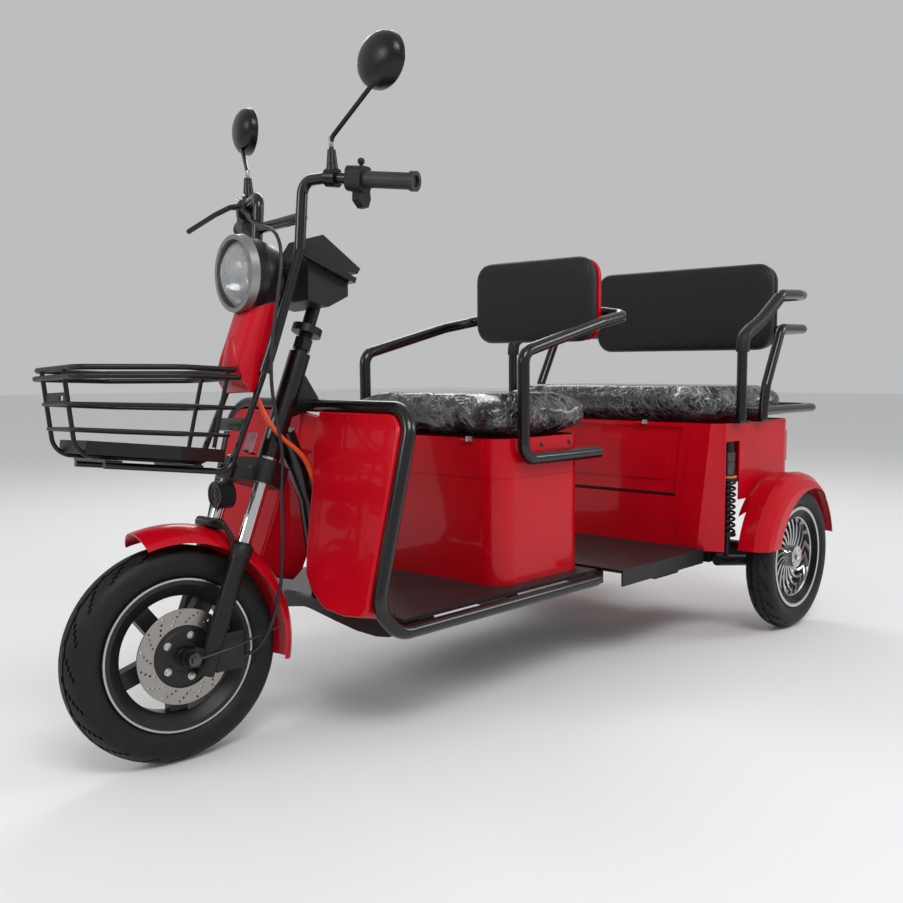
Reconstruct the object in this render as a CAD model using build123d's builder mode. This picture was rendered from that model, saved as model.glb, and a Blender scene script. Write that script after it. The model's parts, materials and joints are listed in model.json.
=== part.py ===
from build123d import *
from math import cos, pi, radians, sin, tan
import os

# Electric passenger tricycle, in millimetres. +X is forward, +Y the rider's left, +Z up.
# The origin is on the ground under the middle of the whole vehicle.
os.makedirs("parts", exist_ok=True)

# ---------------------------------------------------------------- driving dimensions
FRONT_AXLE_X = 884
WHEELBASE = 1667
REAR_AXLE_X = FRONT_AXLE_X - WHEELBASE
REAR_TRACK = 918

TYRE_DIAMETER = 413
TYRE_WIDTH = 80
TYRE_WALL = 9
RIM_DIAMETER = 276
RIM_WIDTH = 66
RIM_WALL = 5
RIM_FLANGE = 4
RIM_FLANGE_HEIGHT = 7
TREAD_DROP = 13
RIM_WELL_DIAMETER = 232
RIM_GAP = 0.3
AXLE_DIAMETER = 14
AXLE_RUNNING_GAP = 0.05
MOVING_GAP = 8

AXLE_HEIGHT = TYRE_DIAMETER / 2
REAR_RIM_FACE_Y = REAR_TRACK / 2 + RIM_WIDTH / 2

# Steering axis: raked back, and turned to the right as the vehicle is parked.
RAKE = 21.5
STEER_REST = 6
STEER_FOOT_X = FRONT_AXLE_X - 80
STEER_PLANE = Plane(
    origin=(STEER_FOOT_X, 0, AXLE_HEIGHT),
    x_dir=(cos(radians(RAKE)), 0, sin(radians(RAKE))),
    z_dir=(-sin(radians(RAKE)), 0, cos(radians(RAKE))),
)
STEER_AXIS = Axis(STEER_PLANE.origin, STEER_PLANE.z_dir)

FRONT_AXLE = Axis((FRONT_AXLE_X, 0, AXLE_HEIGHT), (0, 1, 0))
REAR_AXLE = Axis((REAR_AXLE_X, 0, AXLE_HEIGHT), (0, 1, 0))

# Fork, measured in the steering plane: along the axis, ahead of it and to each side.
LEG_SPACING = 140
LEG_OFFSET = 37
STANCHION_DIAMETER = 27
SLIDER_DIAMETER = 35
SLIDER_COLLAR_DIAMETER = 39
SLIDER_FOOT = -55
SLIDER_TOP = 190
COLLAR_HEIGHT = 22
CROWN_BOTTOM = 322
CROWN_HEIGHT = 46
CROWN_CLAMP_DIAMETER = 46
STEERER_DIAMETER = 28
HEAD_TUBE_DIAMETER = 44
STEERER_RUNNING_GAP = 0.1
HEAD_TUBE_BOTTOM = CROWN_BOTTOM + CROWN_HEIGHT + MOVING_GAP
HEAD_TUBE_TOP = 612
HEAD_NUT_HEIGHT = 24
STEM_TOP = 787

HUB_DIAMETER = 62
FRONT_HUB_WIDTH = 86
SPOKE_COUNT = 5
SPOKE_WIDTH = 34
SPOKE_DEPTH = 24
DISC_DIAMETER = 180
DISC_HOLE_DIAMETER = 118
DISC_THICKNESS = 4
DISC_Y = 43
DISC_HUB_DIAMETER = 58
DISC_ARM_LENGTH = 42
DISC_ARM_WIDTH = 16
FRONT_AXLE_LENGTH = 192
LUG_THICKNESS = 14
LUG_DIAMETER = 36
STANCHION_CAP = 6

FRONT_FENDER_RADIUS = 246
FRONT_FENDER_WIDTH = 100
FENDER_DROP = 30
FRONT_FENDER_TIP = 74
FRONT_FENDER_TAIL = 193
BRACE_X = FRONT_AXLE_X - 86
BRACE_TOP_Z = 452
BRACE_ROD = 10
STAY_ROD = 4
STAY_Y = 92

# Handlebar and what it carries.
BAR_DIAMETER = 22
BAR_HEIGHT = 1110
SIDE_TUBE_Y = 85
GRIP_END_Y = 330
GRIP_END_Z = 1080
GRIP_END_BACK = 366
GRIP_OVERHANG = 4
STEM_PLATE = 12
STEM_PLATE_REACH = 40
STEM_ARM = 12
SIDE_TUBE_LEAD = 112
BASKET_HOOP_Y = 52
BASKET_ROD = 8
BASKET_RIM_ROD = 10
BASKET_SHEET = 3
BASKET_SIDE_X = 28
BASKET_CORNER = 26
BASKET_FOOT_X = FRONT_AXLE_X - 70
BASKET_FOOT_Z = 564
BASKET_LEAN = 7
BASKET_LENGTH = 247
TRAY_HEIGHT = 24
SUPPORT_Y = 66
SUPPORT_STRAP = 5
SUPPORT_ROD = 12
BAR_FOOT_Z = 735
HOSE_DIAMETER = 7
CABLE_DIAMETER = 10
SEAT_GAP = 0.3
SUPPORT_STRAPS = (40, 190)
HORN_DIAMETER = 56
HORN_DEPTH = 30
CALIPER_BACK = 113
CALIPER_LENGTH = 58
CALIPER_WIDTH = 34
CALIPER_HEIGHT = 72
GRIP_LENGTH = 110
GRIP_DIAMETER = 32
POD_LENGTH = 34
POD_DIAMETER = 40
KNOB_RISE = 12
KNOB_RADIUS = 7
BAR_BEND = 26
LEVER_CLAMP_IN = 176
LEVER_CLAMP_WALL = 8
LEVER_REACH = 70
LEVER_ROD = 11
LEFT_MIRROR_IN = 186
RIGHT_MIRROR_IN = 166
LEFT_MIRROR_REACH = 134
RIGHT_MIRROR_REACH = 145
MIRROR_RISE = 75
MIRROR_HEAD_Z = 1302
MIRROR_STEM_DIAMETER = 9
MIRROR_WIDTH = 126
MIRROR_HEIGHT = 102
MIRROR_DEPTH = 20
MIRROR_LIP = 8
MIRROR_RIM = 4
GLASS_THICKNESS = 3
LEFT_MIRROR_SWING = 12
RIGHT_MIRROR_SWING = 30
LEFT_MIRROR_TOE = 0
RIGHT_MIRROR_TOE = 13
LAMP_Z = 931
LAMP_DIAMETER = 157
LAMP_RING_BACK = 178
LAMP_RING_DEPTH = 16
LAMP_BACK = 268
LAMP_WALL = 3
LAMP_EAR_BACK = 248
LAMP_EAR_LENGTH = 30
LENS_FRONT = 146
LENS_THICKNESS = 3
COWL_WIDTH = 106
COWL_BACK = 98
COWL_DEPTH = 54
COWL_WALL = 3
COWL_BRACKETS = (545, 636)
DISPLAY_WIDTH = 132
LOCK_DIAMETER = 62
LOCK_START = 655
LOCK_HEIGHT = 16

# Footboard and frame heights.
FLOOR_TOP = 255
FLOOR_THICKNESS = 8
FLOOR_HALF_WIDTH = 288
FRAME_TUBE = 28
EDGE_TUBE_Y = 305
EDGE_TUBE_Z = 234
HOOP_KNEE_X = FRONT_AXLE_X - 246
HOOP_KNEE_Z = 288
HOOP_HEEL_X = FRONT_AXLE_X - 292
HOOP_TOP_X = FRONT_AXLE_X - 345
HOOP_TOP_Z = 667
HOOP_HALF_WIDTH = 296
HOOP_BEND = 58
SHIELD_DEPTH = 46
SHIELD_LEAD = 14
FRONT_SKIRT_X = FRONT_AXLE_X - 304
FRONT_SKIRT_DEPTH = 18
KEEL_Z = 222
KEEL_Y = 130
KEEL_TOP = FLOOR_TOP - FLOOR_THICKNESS
KEEL_WIDTH = 40
KEEL_DEPTH = 34
GUSSET_THICKNESS = 6
DOWN_TUBE_DIAMETER = 42

# Front seat.
SEAT_BOX_FRONT = FRONT_AXLE_X - 650
SEAT_BOX_REAR = FRONT_AXLE_X - 965
SEAT_BOX_HALF_WIDTH = 245
SEAT_BOX_TOP = 588
SEAT_BOX_WALL = 4
SEAT_BOX_CORNER = 55
SEAM_DEPTH = 3
SEAM_DROP = 92
HINGE_DIAMETER = 8
HINGE_LENGTH = 34
HINGE_PLACES = (-150, 150)
HINGE_LEAF = 4
HINGE_DROP = 4.5
FRONT_RAIL_Y = 267
FRONT_RAIL_X = FRONT_AXLE_X - 709
FRONT_RAIL_LOW_Z = 541
FRONT_RAIL_TOP_Z = 788
FRONT_BACKREST_X = FRONT_AXLE_X - 1055
FRONT_BACKREST_WIDTH = 385
FRONT_BACKREST_HEIGHT = 205
FRONT_BACKREST_MID_Z = 924
CUSHION_THICKNESS = 92
CUSHION_GAP = 0.5
BACKREST_PAD = 36
BACKREST_SHELL = 12
BATTERY_LENGTH = 240
BATTERY_WIDTH = 360
BATTERY_HEIGHT = 190

# Rear seat and body.
BODY_FRONT = FRONT_AXLE_X - 1372
BODY_REAR = FRONT_AXLE_X - 1812
BODY_HALF_WIDTH = 398
BODY_BOTTOM = 247
BODY_TOP = 598
BODY_WALL = 4
BODY_CORNER = 60
PANEL_RECESS = 8
SKIRT_BOTTOM = 384
REAR_FLOOR_HALF_WIDTH = 350
REAR_FLOOR_FRONT = SEAT_BOX_REAR - 20
SKIRT_DEPTH = 40
REAR_RAIL_Y = 412
REAR_RAIL_X = FRONT_AXLE_X - 1457
REAR_BACKREST_X = FRONT_AXLE_X - 1800
REAR_BACKREST_WIDTH = 640
REAR_BACKREST_HEIGHT = 250
REAR_BACKREST_MID_Z = 935
FENDER_RADIUS = 245
FENDER_WALL = 4
FENDER_OUTER_Y = 512
FENDER_EDGE = 22
WHEEL_OPENING = 212
OPENING_BACK = 48
OPENING_DROP = 17
FENDER_SKIRT = 45
RACK_Z = 628
RACK_FRONT = FRONT_AXLE_X - 1594
RACK_DIAMETER = 26
RAIL_FOOT_PLATE = 6
BRACE_FOOT_X = FRONT_AXLE_X - 1584
RACK_REAR = FRONT_AXLE_X - 1960
AXLE_BEAM_HALF = 400
AXLE_BEAM_DIAMETER = 54
DRUM_INSET = 4
DRUM_GAP = 5
SWIRL_OFFSET = -4
REAR_SPINDLE = 20
REAR_SPINDLE_HALF = 480
HUB_CAP = 8
SHOCK_Y = 376
SHOCK_X = FRONT_AXLE_X - 1456
SLOT_FRONT = FRONT_AXLE_X - 1402
SLOT_REAR = FRONT_AXLE_X - 1480
SHOCK_SLOT_TOP = 548
SHOCK_POCKET = 54
ARCH_FRONT = FRONT_AXLE_X - 1500
ARCH_HEIGHT = 184
SHOCK_TOP_Z = SHOCK_SLOT_TOP - SEAT_GAP
SHOCK_BODY_DIAMETER = 30
SHOCK_ROD_DIAMETER = 18
COIL_DIAMETER = 46
COIL_WIRE = 7
COIL_PITCH = 17
COIL_BOTTOM = 291
COIL_TOP = 437
SPRING_SEAT_HEIGHT = 8
ARM_DIAMETER = 30
DRUM_DIAMETER = 190
DRUM_WIDTH = 40
SWIRL_COUNT = 20
SWIRL_WIDTH = 7
SWIRL_DEPTH = 8
SWIRL_TURN = 34


def tube(points, diameter, bend=0):
    """Return a round bar that follows the points, with one bend radius at every corner."""
    with BuildPart() as bar:
        with BuildLine() as run:
            if len(points) > 2:
                FilletPolyline(*points, radius=bend)
            else:
                Line(*points)
        with BuildSketch(Plane(origin=run.line @ 0, z_dir=run.line % 0)):
            Circle(diameter / 2)
        sweep()
    return bar.part


def cord(points, diameter):
    """Return a cord's tube, each of its arcs as large as the two straight runs allow."""
    arcs = []
    for before, corner, after in zip(points, points[1:], points[2:]):
        arriving = Vector(*corner) - Vector(*before)
        leaving = Vector(*after) - Vector(*corner)
        turn = radians(arriving.get_angle(leaving))
        arcs.append(0.45 * min(arriving.length, leaving.length) / tan(turn / 2))
    print("arcs of the cord, mm:", [round(arc) for arc in arcs])
    with BuildPart() as sheath:
        with BuildLine() as run:
            FilletPolyline(*points, radius=arcs)
        with BuildSketch(Plane(origin=run.line @ 0, z_dir=run.line % 0)):
            Circle(diameter / 2)
        sweep()
    return sheath.part


def mirrored(points):
    """Return the points on the other side of the vehicle, in the same order."""
    return [(x, -y, z) for x, y, z in points]


def wheel_plane(axle_x, side_y):
    """Return a plane on a wheel's axis, its normal along the axle towards the left."""
    return Plane(origin=(axle_x, side_y, AXLE_HEIGHT), x_dir=(1, 0, 0), z_dir=(0, 1, 0))


def section_plane(axle_x):
    """Return the upright plane through an axle: sketch X is world Y, sketch Y is world Z."""
    return Plane(origin=(axle_x, 0, AXLE_HEIGHT), x_dir=(0, 1, 0), z_dir=(1, 0, 0))


def tyre_section(axle_x, middle_y):
    """Return a tyre's section above its axle: tread arc, sidewalls and beads."""
    outer = TYRE_DIAMETER / 2
    shoulder = outer - TREAD_DROP
    bead = RIM_DIAMETER / 2 + RIM_GAP
    lip = RIM_DIAMETER / 2 + RIM_FLANGE_HEIGHT + 1
    bulge = (outer + bead) / 2
    half = TYRE_WIDTH / 2
    foot = RIM_WIDTH / 2 - RIM_FLANGE - RIM_GAP
    with BuildSketch(section_plane(axle_x)) as section:
        with BuildLine():
            tread = ThreePointArc(
                (middle_y - half * 0.8, shoulder),
                (middle_y, outer),
                (middle_y + half * 0.8, shoulder),
            )
            right = ThreePointArc(
                tread @ 1,
                (middle_y + half, bulge),
                (middle_y + foot, lip),
            )
            inner = Polyline(
                right @ 1,
                (middle_y + foot, bead),
                (middle_y + foot - TYRE_WALL, bead),
                (middle_y + half - TYRE_WALL - 3, bulge),
                (middle_y + half * 0.5, outer - 2 * TYRE_WALL),
                (middle_y - half * 0.5, outer - 2 * TYRE_WALL),
                (middle_y - half + TYRE_WALL + 3, bulge),
                (middle_y - foot + TYRE_WALL, bead),
                (middle_y - foot, bead),
                (middle_y - foot, lip),
            )
            ThreePointArc(inner @ 1, (middle_y - half, bulge), tread @ 0)
        make_face()
    return section.sketch


def rim_section(axle_x, middle_y):
    """Return a rim's section above its axle: two flanges, two bead seats and a well."""
    seat = RIM_DIAMETER / 2
    flange = seat + RIM_FLANGE_HEIGHT
    well = RIM_WELL_DIAMETER / 2
    half = RIM_WIDTH / 2
    with BuildSketch(section_plane(axle_x)) as section:
        with BuildLine():
            Polyline(
                (middle_y - half, flange),
                (middle_y - half, seat - RIM_WALL),
                (middle_y - half + 14, well - RIM_WALL),
                (middle_y + half - 14, well - RIM_WALL),
                (middle_y + half, seat - RIM_WALL),
                (middle_y + half, flange),
                (middle_y + half - RIM_FLANGE, flange),
                (middle_y + half - RIM_FLANGE, seat),
                (middle_y + half - 18, seat),
                (middle_y + half - 20, well),
                (middle_y - half + 20, well),
                (middle_y - half + 18, seat),
                (middle_y - half + RIM_FLANGE, seat),
                (middle_y - half + RIM_FLANGE, flange),
                close=True,
            )
        make_face()
    return section.sketch


# ---------------------------------------------------------------- front wheel
with BuildPart() as front_tyre:
    revolve(tyre_section(FRONT_AXLE_X, 0), axis=FRONT_AXLE)
front_tyre.part = front_tyre.part.rotate(STEER_AXIS, -STEER_REST)
front_tyre.part.label = "front_tyre"
export_step(front_tyre.part, "parts/front_tyre.step")

with BuildPart() as front_wheel:
    revolve(rim_section(FRONT_AXLE_X, 0), axis=FRONT_AXLE)
    with BuildSketch(wheel_plane(FRONT_AXLE_X, -FRONT_HUB_WIDTH / 2)):
        Circle(HUB_DIAMETER / 2)
    extrude(amount=FRONT_HUB_WIDTH)
    with BuildSketch(wheel_plane(FRONT_AXLE_X, -SPOKE_DEPTH / 2)):
        with PolarLocations((HUB_DIAMETER + RIM_WELL_DIAMETER) / 4 - 2, SPOKE_COUNT, start_angle=18):
            Rectangle((RIM_WELL_DIAMETER - HUB_DIAMETER) / 2 + 8, SPOKE_WIDTH)
    extrude(amount=SPOKE_DEPTH)
    with BuildSketch(wheel_plane(FRONT_AXLE_X, -FRONT_HUB_WIDTH)):
        Circle(AXLE_DIAMETER / 2 + AXLE_RUNNING_GAP)
    extrude(amount=2 * FRONT_HUB_WIDTH, mode=Mode.SUBTRACT)
front_wheel.part = front_wheel.part.rotate(STEER_AXIS, -STEER_REST)
front_wheel.part.label = "front_wheel"
export_step(front_wheel.part, "parts/front_wheel.step")

with BuildPart() as brake_disc:
    with BuildSketch(wheel_plane(FRONT_AXLE_X, DISC_Y)):
        Circle(DISC_DIAMETER / 2)
        Circle(DISC_HOLE_DIAMETER / 2, mode=Mode.SUBTRACT)
    extrude(amount=DISC_THICKNESS)
    with BuildSketch(wheel_plane(FRONT_AXLE_X, DISC_Y)):
        with PolarLocations(DISC_ARM_LENGTH / 2 + DISC_HUB_DIAMETER / 2 - 8, SPOKE_COUNT):
            Rectangle(DISC_ARM_LENGTH, DISC_ARM_WIDTH)
        Circle(DISC_HUB_DIAMETER / 2)
        Circle(AXLE_DIAMETER / 2 + AXLE_RUNNING_GAP, mode=Mode.SUBTRACT)
    extrude(amount=DISC_THICKNESS)
brake_disc.part = brake_disc.part.rotate(STEER_AXIS, -STEER_REST)
brake_disc.part.label = "brake_disc"
export_step(brake_disc.part, "parts/brake_disc.step")

# ---------------------------------------------------------------- fork
with BuildPart() as fork_crown:
    with BuildSketch(STEER_PLANE.offset(CROWN_BOTTOM)):
        Rectangle(STEERER_DIAMETER + 16, LEG_SPACING * 0.75)
        with Locations((LEG_OFFSET, -LEG_SPACING / 2), (LEG_OFFSET, LEG_SPACING / 2)):
            Circle(CROWN_CLAMP_DIAMETER / 2)
        make_hull()
    extrude(amount=CROWN_HEIGHT)
    with BuildSketch(STEER_PLANE.offset(CROWN_BOTTOM + CROWN_HEIGHT)):
        Circle(STEERER_DIAMETER / 2)
    extrude(amount=STEM_TOP - CROWN_BOTTOM - CROWN_HEIGHT)
    with BuildSketch(STEER_PLANE.offset(HEAD_TUBE_TOP + MOVING_GAP)):
        RegularPolygon(STEERER_DIAMETER * 0.72, 6)
    extrude(amount=HEAD_NUT_HEIGHT)
    with BuildSketch(STEER_PLANE.offset(LOCK_START)):
        Circle(LOCK_DIAMETER / 2)
    extrude(amount=LOCK_HEIGHT)
    with BuildSketch(STEER_PLANE.offset(CROWN_BOTTOM)):
        with Locations((LEG_OFFSET, -LEG_SPACING / 2), (LEG_OFFSET, LEG_SPACING / 2)):
            Circle(STANCHION_DIAMETER / 2)
    extrude(amount=CROWN_HEIGHT, mode=Mode.SUBTRACT)
fork_crown.part = fork_crown.part.rotate(STEER_AXIS, -STEER_REST)
fork_crown.part.label = "fork_crown"
export_step(fork_crown.part, "parts/fork_crown.step")

with BuildPart() as fork_stanchions:
    with BuildSketch(STEER_PLANE.offset(SLIDER_TOP)):
        with Locations((LEG_OFFSET, -LEG_SPACING / 2), (LEG_OFFSET, LEG_SPACING / 2)):
            Circle(STANCHION_DIAMETER / 2)
    extrude(amount=CROWN_BOTTOM + CROWN_HEIGHT - SLIDER_TOP + STANCHION_CAP)
fork_stanchions.part = fork_stanchions.part.rotate(STEER_AXIS, -STEER_REST)
fork_stanchions.part.label = "fork_stanchions"
export_step(fork_stanchions.part, "parts/fork_stanchions.step")

with BuildPart() as fork_sliders:
    with BuildSketch(STEER_PLANE.offset(SLIDER_FOOT)):
        with Locations((LEG_OFFSET, -LEG_SPACING / 2), (LEG_OFFSET, LEG_SPACING / 2)):
            Circle(SLIDER_DIAMETER / 2)
    extrude(amount=SLIDER_TOP - SLIDER_FOOT)
    with BuildSketch(STEER_PLANE.offset(SLIDER_TOP - COLLAR_HEIGHT)):
        with Locations((LEG_OFFSET, -LEG_SPACING / 2), (LEG_OFFSET, LEG_SPACING / 2)):
            Circle(SLIDER_COLLAR_DIAMETER / 2)
    extrude(amount=COLLAR_HEIGHT)
    for side in (-1, 1):
        with BuildSketch(Plane(
            origin=(0, side * LEG_SPACING / 2 - LUG_THICKNESS / 2, 0), x_dir=(1, 0, 0), z_dir=(0, -1, 0)
        )):
            with Locations((FRONT_AXLE_X, AXLE_HEIGHT)):
                Circle(LUG_DIAMETER / 2)
            with Locations(Location((FRONT_AXLE_X - 22, AXLE_HEIGHT - 4), RAKE - 90)):
                Rectangle(LUG_DIAMETER, 44)
        extrude(amount=-LUG_THICKNESS)
    with BuildSketch(wheel_plane(FRONT_AXLE_X, -LEG_SPACING)):
        Circle(AXLE_DIAMETER / 2)
    extrude(amount=2 * LEG_SPACING, mode=Mode.SUBTRACT)
    # The brace that carries the fender: up from one leg, over the crown, down to the other.
    add(tube([
        (BRACE_X, 66, 342), (BRACE_X - 16, 62, 415), (BRACE_X, 50, BRACE_TOP_Z),
        (BRACE_X, -50, BRACE_TOP_Z), (BRACE_X - 16, -62, 415), (BRACE_X, -66, 342),
    ], BRACE_ROD, 14))
    with Locations((BRACE_X, 0, BRACE_TOP_Z)):
        Box(30, 60, 40, align=(Align.CENTER, Align.CENTER, Align.MAX))
    with Locations((FRONT_AXLE_X, 0, AXLE_HEIGHT)):
        Cylinder(FRONT_FENDER_RADIUS + SEAT_GAP, 90, rotation=(90, 0, 0), mode=Mode.SUBTRACT)
fork_sliders.part = fork_sliders.part.rotate(STEER_AXIS, -STEER_REST)
fork_sliders.part.label = "fork_sliders"
export_step(fork_sliders.part, "parts/fork_sliders.step")

with BuildPart() as front_axle:
    with BuildSketch(wheel_plane(FRONT_AXLE_X, -FRONT_AXLE_LENGTH / 2)):
        Circle(AXLE_DIAMETER / 2)
    extrude(amount=FRONT_AXLE_LENGTH)
    for side in (-1, 1):
        with BuildSketch(wheel_plane(FRONT_AXLE_X, side * (LEG_SPACING + LUG_THICKNESS) / 2)):
            RegularPolygon(AXLE_DIAMETER, 6)
        extrude(amount=side * 9)
        add(tube([
            (FRONT_AXLE_X, side * STAY_Y, AXLE_HEIGHT),
            (FRONT_AXLE_X - 72, side * STAY_Y, AXLE_HEIGHT + 9),
            (FRONT_AXLE_X - 206, side * (FRONT_FENDER_WIDTH / 2 + STAY_ROD / 2 + SEAT_GAP), 231),
        ], STAY_ROD, 12))
front_axle.part = front_axle.part.rotate(STEER_AXIS, -STEER_REST)
front_axle.part.label = "front_axle"
export_step(front_axle.part, "parts/front_axle.step")

# ---------------------------------------------------------------- front fender
with BuildPart() as front_fender:
    with BuildSketch(section_plane(FRONT_AXLE_X)):
        with BuildLine():
            crown = ThreePointArc(
                (-FRONT_FENDER_WIDTH / 2, FRONT_FENDER_RADIUS - FENDER_DROP),
                (0, FRONT_FENDER_RADIUS),
                (FRONT_FENDER_WIDTH / 2, FRONT_FENDER_RADIUS - FENDER_DROP),
            )
            Polyline(
                crown @ 1,
                (FRONT_FENDER_WIDTH / 2, FRONT_FENDER_RADIUS - FENDER_DROP - FENDER_WALL),
            )
            ThreePointArc(
                (FRONT_FENDER_WIDTH / 2, FRONT_FENDER_RADIUS - FENDER_DROP - FENDER_WALL),
                (0, FRONT_FENDER_RADIUS - FENDER_WALL),
                (-FRONT_FENDER_WIDTH / 2, FRONT_FENDER_RADIUS - FENDER_DROP - FENDER_WALL),
            )
            Line(
                (-FRONT_FENDER_WIDTH / 2, FRONT_FENDER_RADIUS - FENDER_DROP - FENDER_WALL),
                (-FRONT_FENDER_WIDTH / 2, FRONT_FENDER_RADIUS - FENDER_DROP),
            )
        make_face()
    revolve(axis=FRONT_AXLE, revolution_arc=FRONT_FENDER_TAIL - FRONT_FENDER_TIP)
front_fender.part = front_fender.part.rotate(FRONT_AXLE, 90 - FRONT_FENDER_TAIL)
front_fender.part = front_fender.part.rotate(STEER_AXIS, -STEER_REST)
front_fender.part.label = "front_fender"
export_step(front_fender.part, "parts/front_fender.step")

# ---------------------------------------------------------------- handlebar
GRIP_END = Vector(FRONT_AXLE_X - GRIP_END_BACK, GRIP_END_Y, GRIP_END_Z)
BAR_KNEE = Vector(FRONT_AXLE_X - 292, 150, BAR_HEIGHT - 2)
BAR_RUN = (GRIP_END - BAR_KNEE).normalized()
BAR_END = GRIP_END - BAR_RUN * GRIP_OVERHANG
BAR_SIDE = [
    (FRONT_AXLE_X - 182, SUPPORT_Y, BAR_FOOT_Z),
    (FRONT_AXLE_X - 196, SUPPORT_Y + 8, 780),
    (FRONT_AXLE_X - 262, SIDE_TUBE_Y, 974),
    (FRONT_AXLE_X - 276, SIDE_TUBE_Y, BAR_HEIGHT),
    tuple(BAR_KNEE),
    tuple(BAR_END),
]
with BuildPart() as handlebar:
    for points in (BAR_SIDE, mirrored(BAR_SIDE)):
        add(tube(points, BAR_DIAMETER, BAR_BEND))
    add(tube([
        (FRONT_AXLE_X - 272, -SIDE_TUBE_Y, 1040),
        (FRONT_AXLE_X - 272, SIDE_TUBE_Y, 1040),
    ], BAR_DIAMETER))
    with BuildSketch(STEER_PLANE.offset(STEM_TOP - STEM_PLATE)):
        with Locations((SIDE_TUBE_LEAD / 2 - STEERER_DIAMETER / 2, 0)):
            Rectangle(SIDE_TUBE_LEAD + STEERER_DIAMETER, 2 * SIDE_TUBE_Y)
        with Locations((SIDE_TUBE_LEAD / 2 + STEM_PLATE_REACH, 0)):
            Rectangle(SIDE_TUBE_LEAD, 2 * (SIDE_TUBE_Y - STEM_ARM), mode=Mode.SUBTRACT)
    extrude(amount=STEM_PLATE)
    with BuildSketch(STEER_PLANE.offset(STEM_TOP - STEM_PLATE)):
        Circle(STEERER_DIAMETER / 2)
    extrude(amount=STEM_PLATE, mode=Mode.SUBTRACT)
    for bracket in COWL_BRACKETS:
        with BuildSketch(STEER_PLANE.offset(bracket)):
            with Locations((COWL_BACK - SEAT_GAP, 0)):
                Rectangle(8, 2 * SUPPORT_Y + 6, align=(Align.MAX, Align.CENTER))
        extrude(amount=18)
handlebar.part = handlebar.part.rotate(STEER_AXIS, -STEER_REST)
handlebar.part.label = "handlebar"
export_step(handlebar.part, "parts/handlebar.step")

def on_bar(from_end, side):
    """Return a plane across the left or right bar, a distance in from the grip's end."""
    point = GRIP_END - BAR_RUN * from_end
    return Plane(origin=(point.X, side * point.Y, point.Z), x_dir=(1, 0, 0),
                 z_dir=(BAR_RUN.X, side * BAR_RUN.Y, BAR_RUN.Z))


with BuildPart() as grips:
    for side in (-1, 1):
        with BuildSketch(on_bar(GRIP_LENGTH, side)):
            Circle(GRIP_DIAMETER / 2)
            Circle(BAR_DIAMETER / 2, mode=Mode.SUBTRACT)
        extrude(amount=GRIP_LENGTH)
        with BuildSketch(on_bar(10, side)):
            Circle(GRIP_DIAMETER / 2 + 3)
            Circle(BAR_DIAMETER / 2, mode=Mode.SUBTRACT)
        extrude(amount=10)
grips.part = grips.part.rotate(STEER_AXIS, -STEER_REST)
grips.part.label = "grips"
export_step(grips.part, "parts/grips.step")

with BuildPart() as hand_controls:
    for side in (-1, 1):
        with BuildSketch(on_bar(GRIP_LENGTH + POD_LENGTH + 1, side)):
            RectangleRounded(POD_DIAMETER + 4, POD_DIAMETER + 8, 14)
            Circle(BAR_DIAMETER / 2, mode=Mode.SUBTRACT)
        extrude(amount=POD_LENGTH)
        pod = GRIP_END - BAR_RUN * (GRIP_LENGTH + POD_LENGTH / 2)
        # A wedge of a switch under the pod and a ball-ended knob above it.
        with BuildSketch(Plane(origin=(pod.X, side * pod.Y + POD_LENGTH / 2 - 7, pod.Z),
                               x_dir=(1, 0, 0), z_dir=(0, -1, 0))):
            Polygon((-18, -15), (8, -15), (10, -40), (-2, -54), (-14, -54), (-20, -38), align=None)
        extrude(amount=POD_LENGTH - 14)
        knob = Vector(pod.X - 2, side * (pod.Y + 8), pod.Z + POD_DIAMETER / 2)
        with BuildSketch(Plane(origin=tuple(knob), x_dir=(1, 0, 0), z_dir=(0, -1, 0))):
            Polygon(
                (0, -4), (KNOB_RADIUS / 2, -4), (KNOB_RADIUS / 2, KNOB_RISE - 6),
                (KNOB_RADIUS - 1, KNOB_RISE - 4), (KNOB_RADIUS, KNOB_RISE),
                (KNOB_RADIUS - 1, KNOB_RISE + 4), (KNOB_RADIUS / 2, KNOB_RISE + 6),
                (0, KNOB_RISE + 6), align=None,
            )
        revolve(axis=Axis(tuple(knob), (0, 0, 1)))
    # The brake lever: a clamp on the right bar and a blade that reaches ahead of the grip.
    with BuildSketch(on_bar(LEVER_CLAMP_IN, -1)):
        Circle(BAR_DIAMETER / 2 + LEVER_CLAMP_WALL)
        Circle(BAR_DIAMETER / 2 + SEAT_GAP, mode=Mode.SUBTRACT)
    extrude(amount=20)
    clamp = GRIP_END - BAR_RUN * (LEVER_CLAMP_IN - 10)
    add(tube([
        (clamp.X + BAR_DIAMETER / 2 + LEVER_CLAMP_WALL - 2, -clamp.Y, clamp.Z),
        (clamp.X + 40, -clamp.Y - 6, clamp.Z - 4),
        (clamp.X + 56, -clamp.Y - 46, clamp.Z - 16),
        (clamp.X + LEVER_REACH, -GRIP_END_Y + 4, clamp.Z - 40),
    ], LEVER_ROD, 10))
hand_controls.part = hand_controls.part.rotate(STEER_AXIS, -STEER_REST)
hand_controls.part.label = "hand_controls"
export_step(hand_controls.part, "parts/hand_controls.step")

# ---------------------------------------------------------------- mirrors
# Each mirror: side, its clamp's distance in from the grip's end, reach, swing, toe.
MIRROR_SIDES = (
    (1, LEFT_MIRROR_IN, LEFT_MIRROR_REACH, LEFT_MIRROR_SWING, LEFT_MIRROR_TOE),
    (-1, RIGHT_MIRROR_IN, RIGHT_MIRROR_REACH, RIGHT_MIRROR_SWING, RIGHT_MIRROR_TOE),
)


def mirror_foot(side, from_end):
    """Return the point on the bar's axis under a mirror's stem."""
    point = GRIP_END - BAR_RUN * from_end
    return Vector(point.X, side * point.Y, point.Z)


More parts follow.
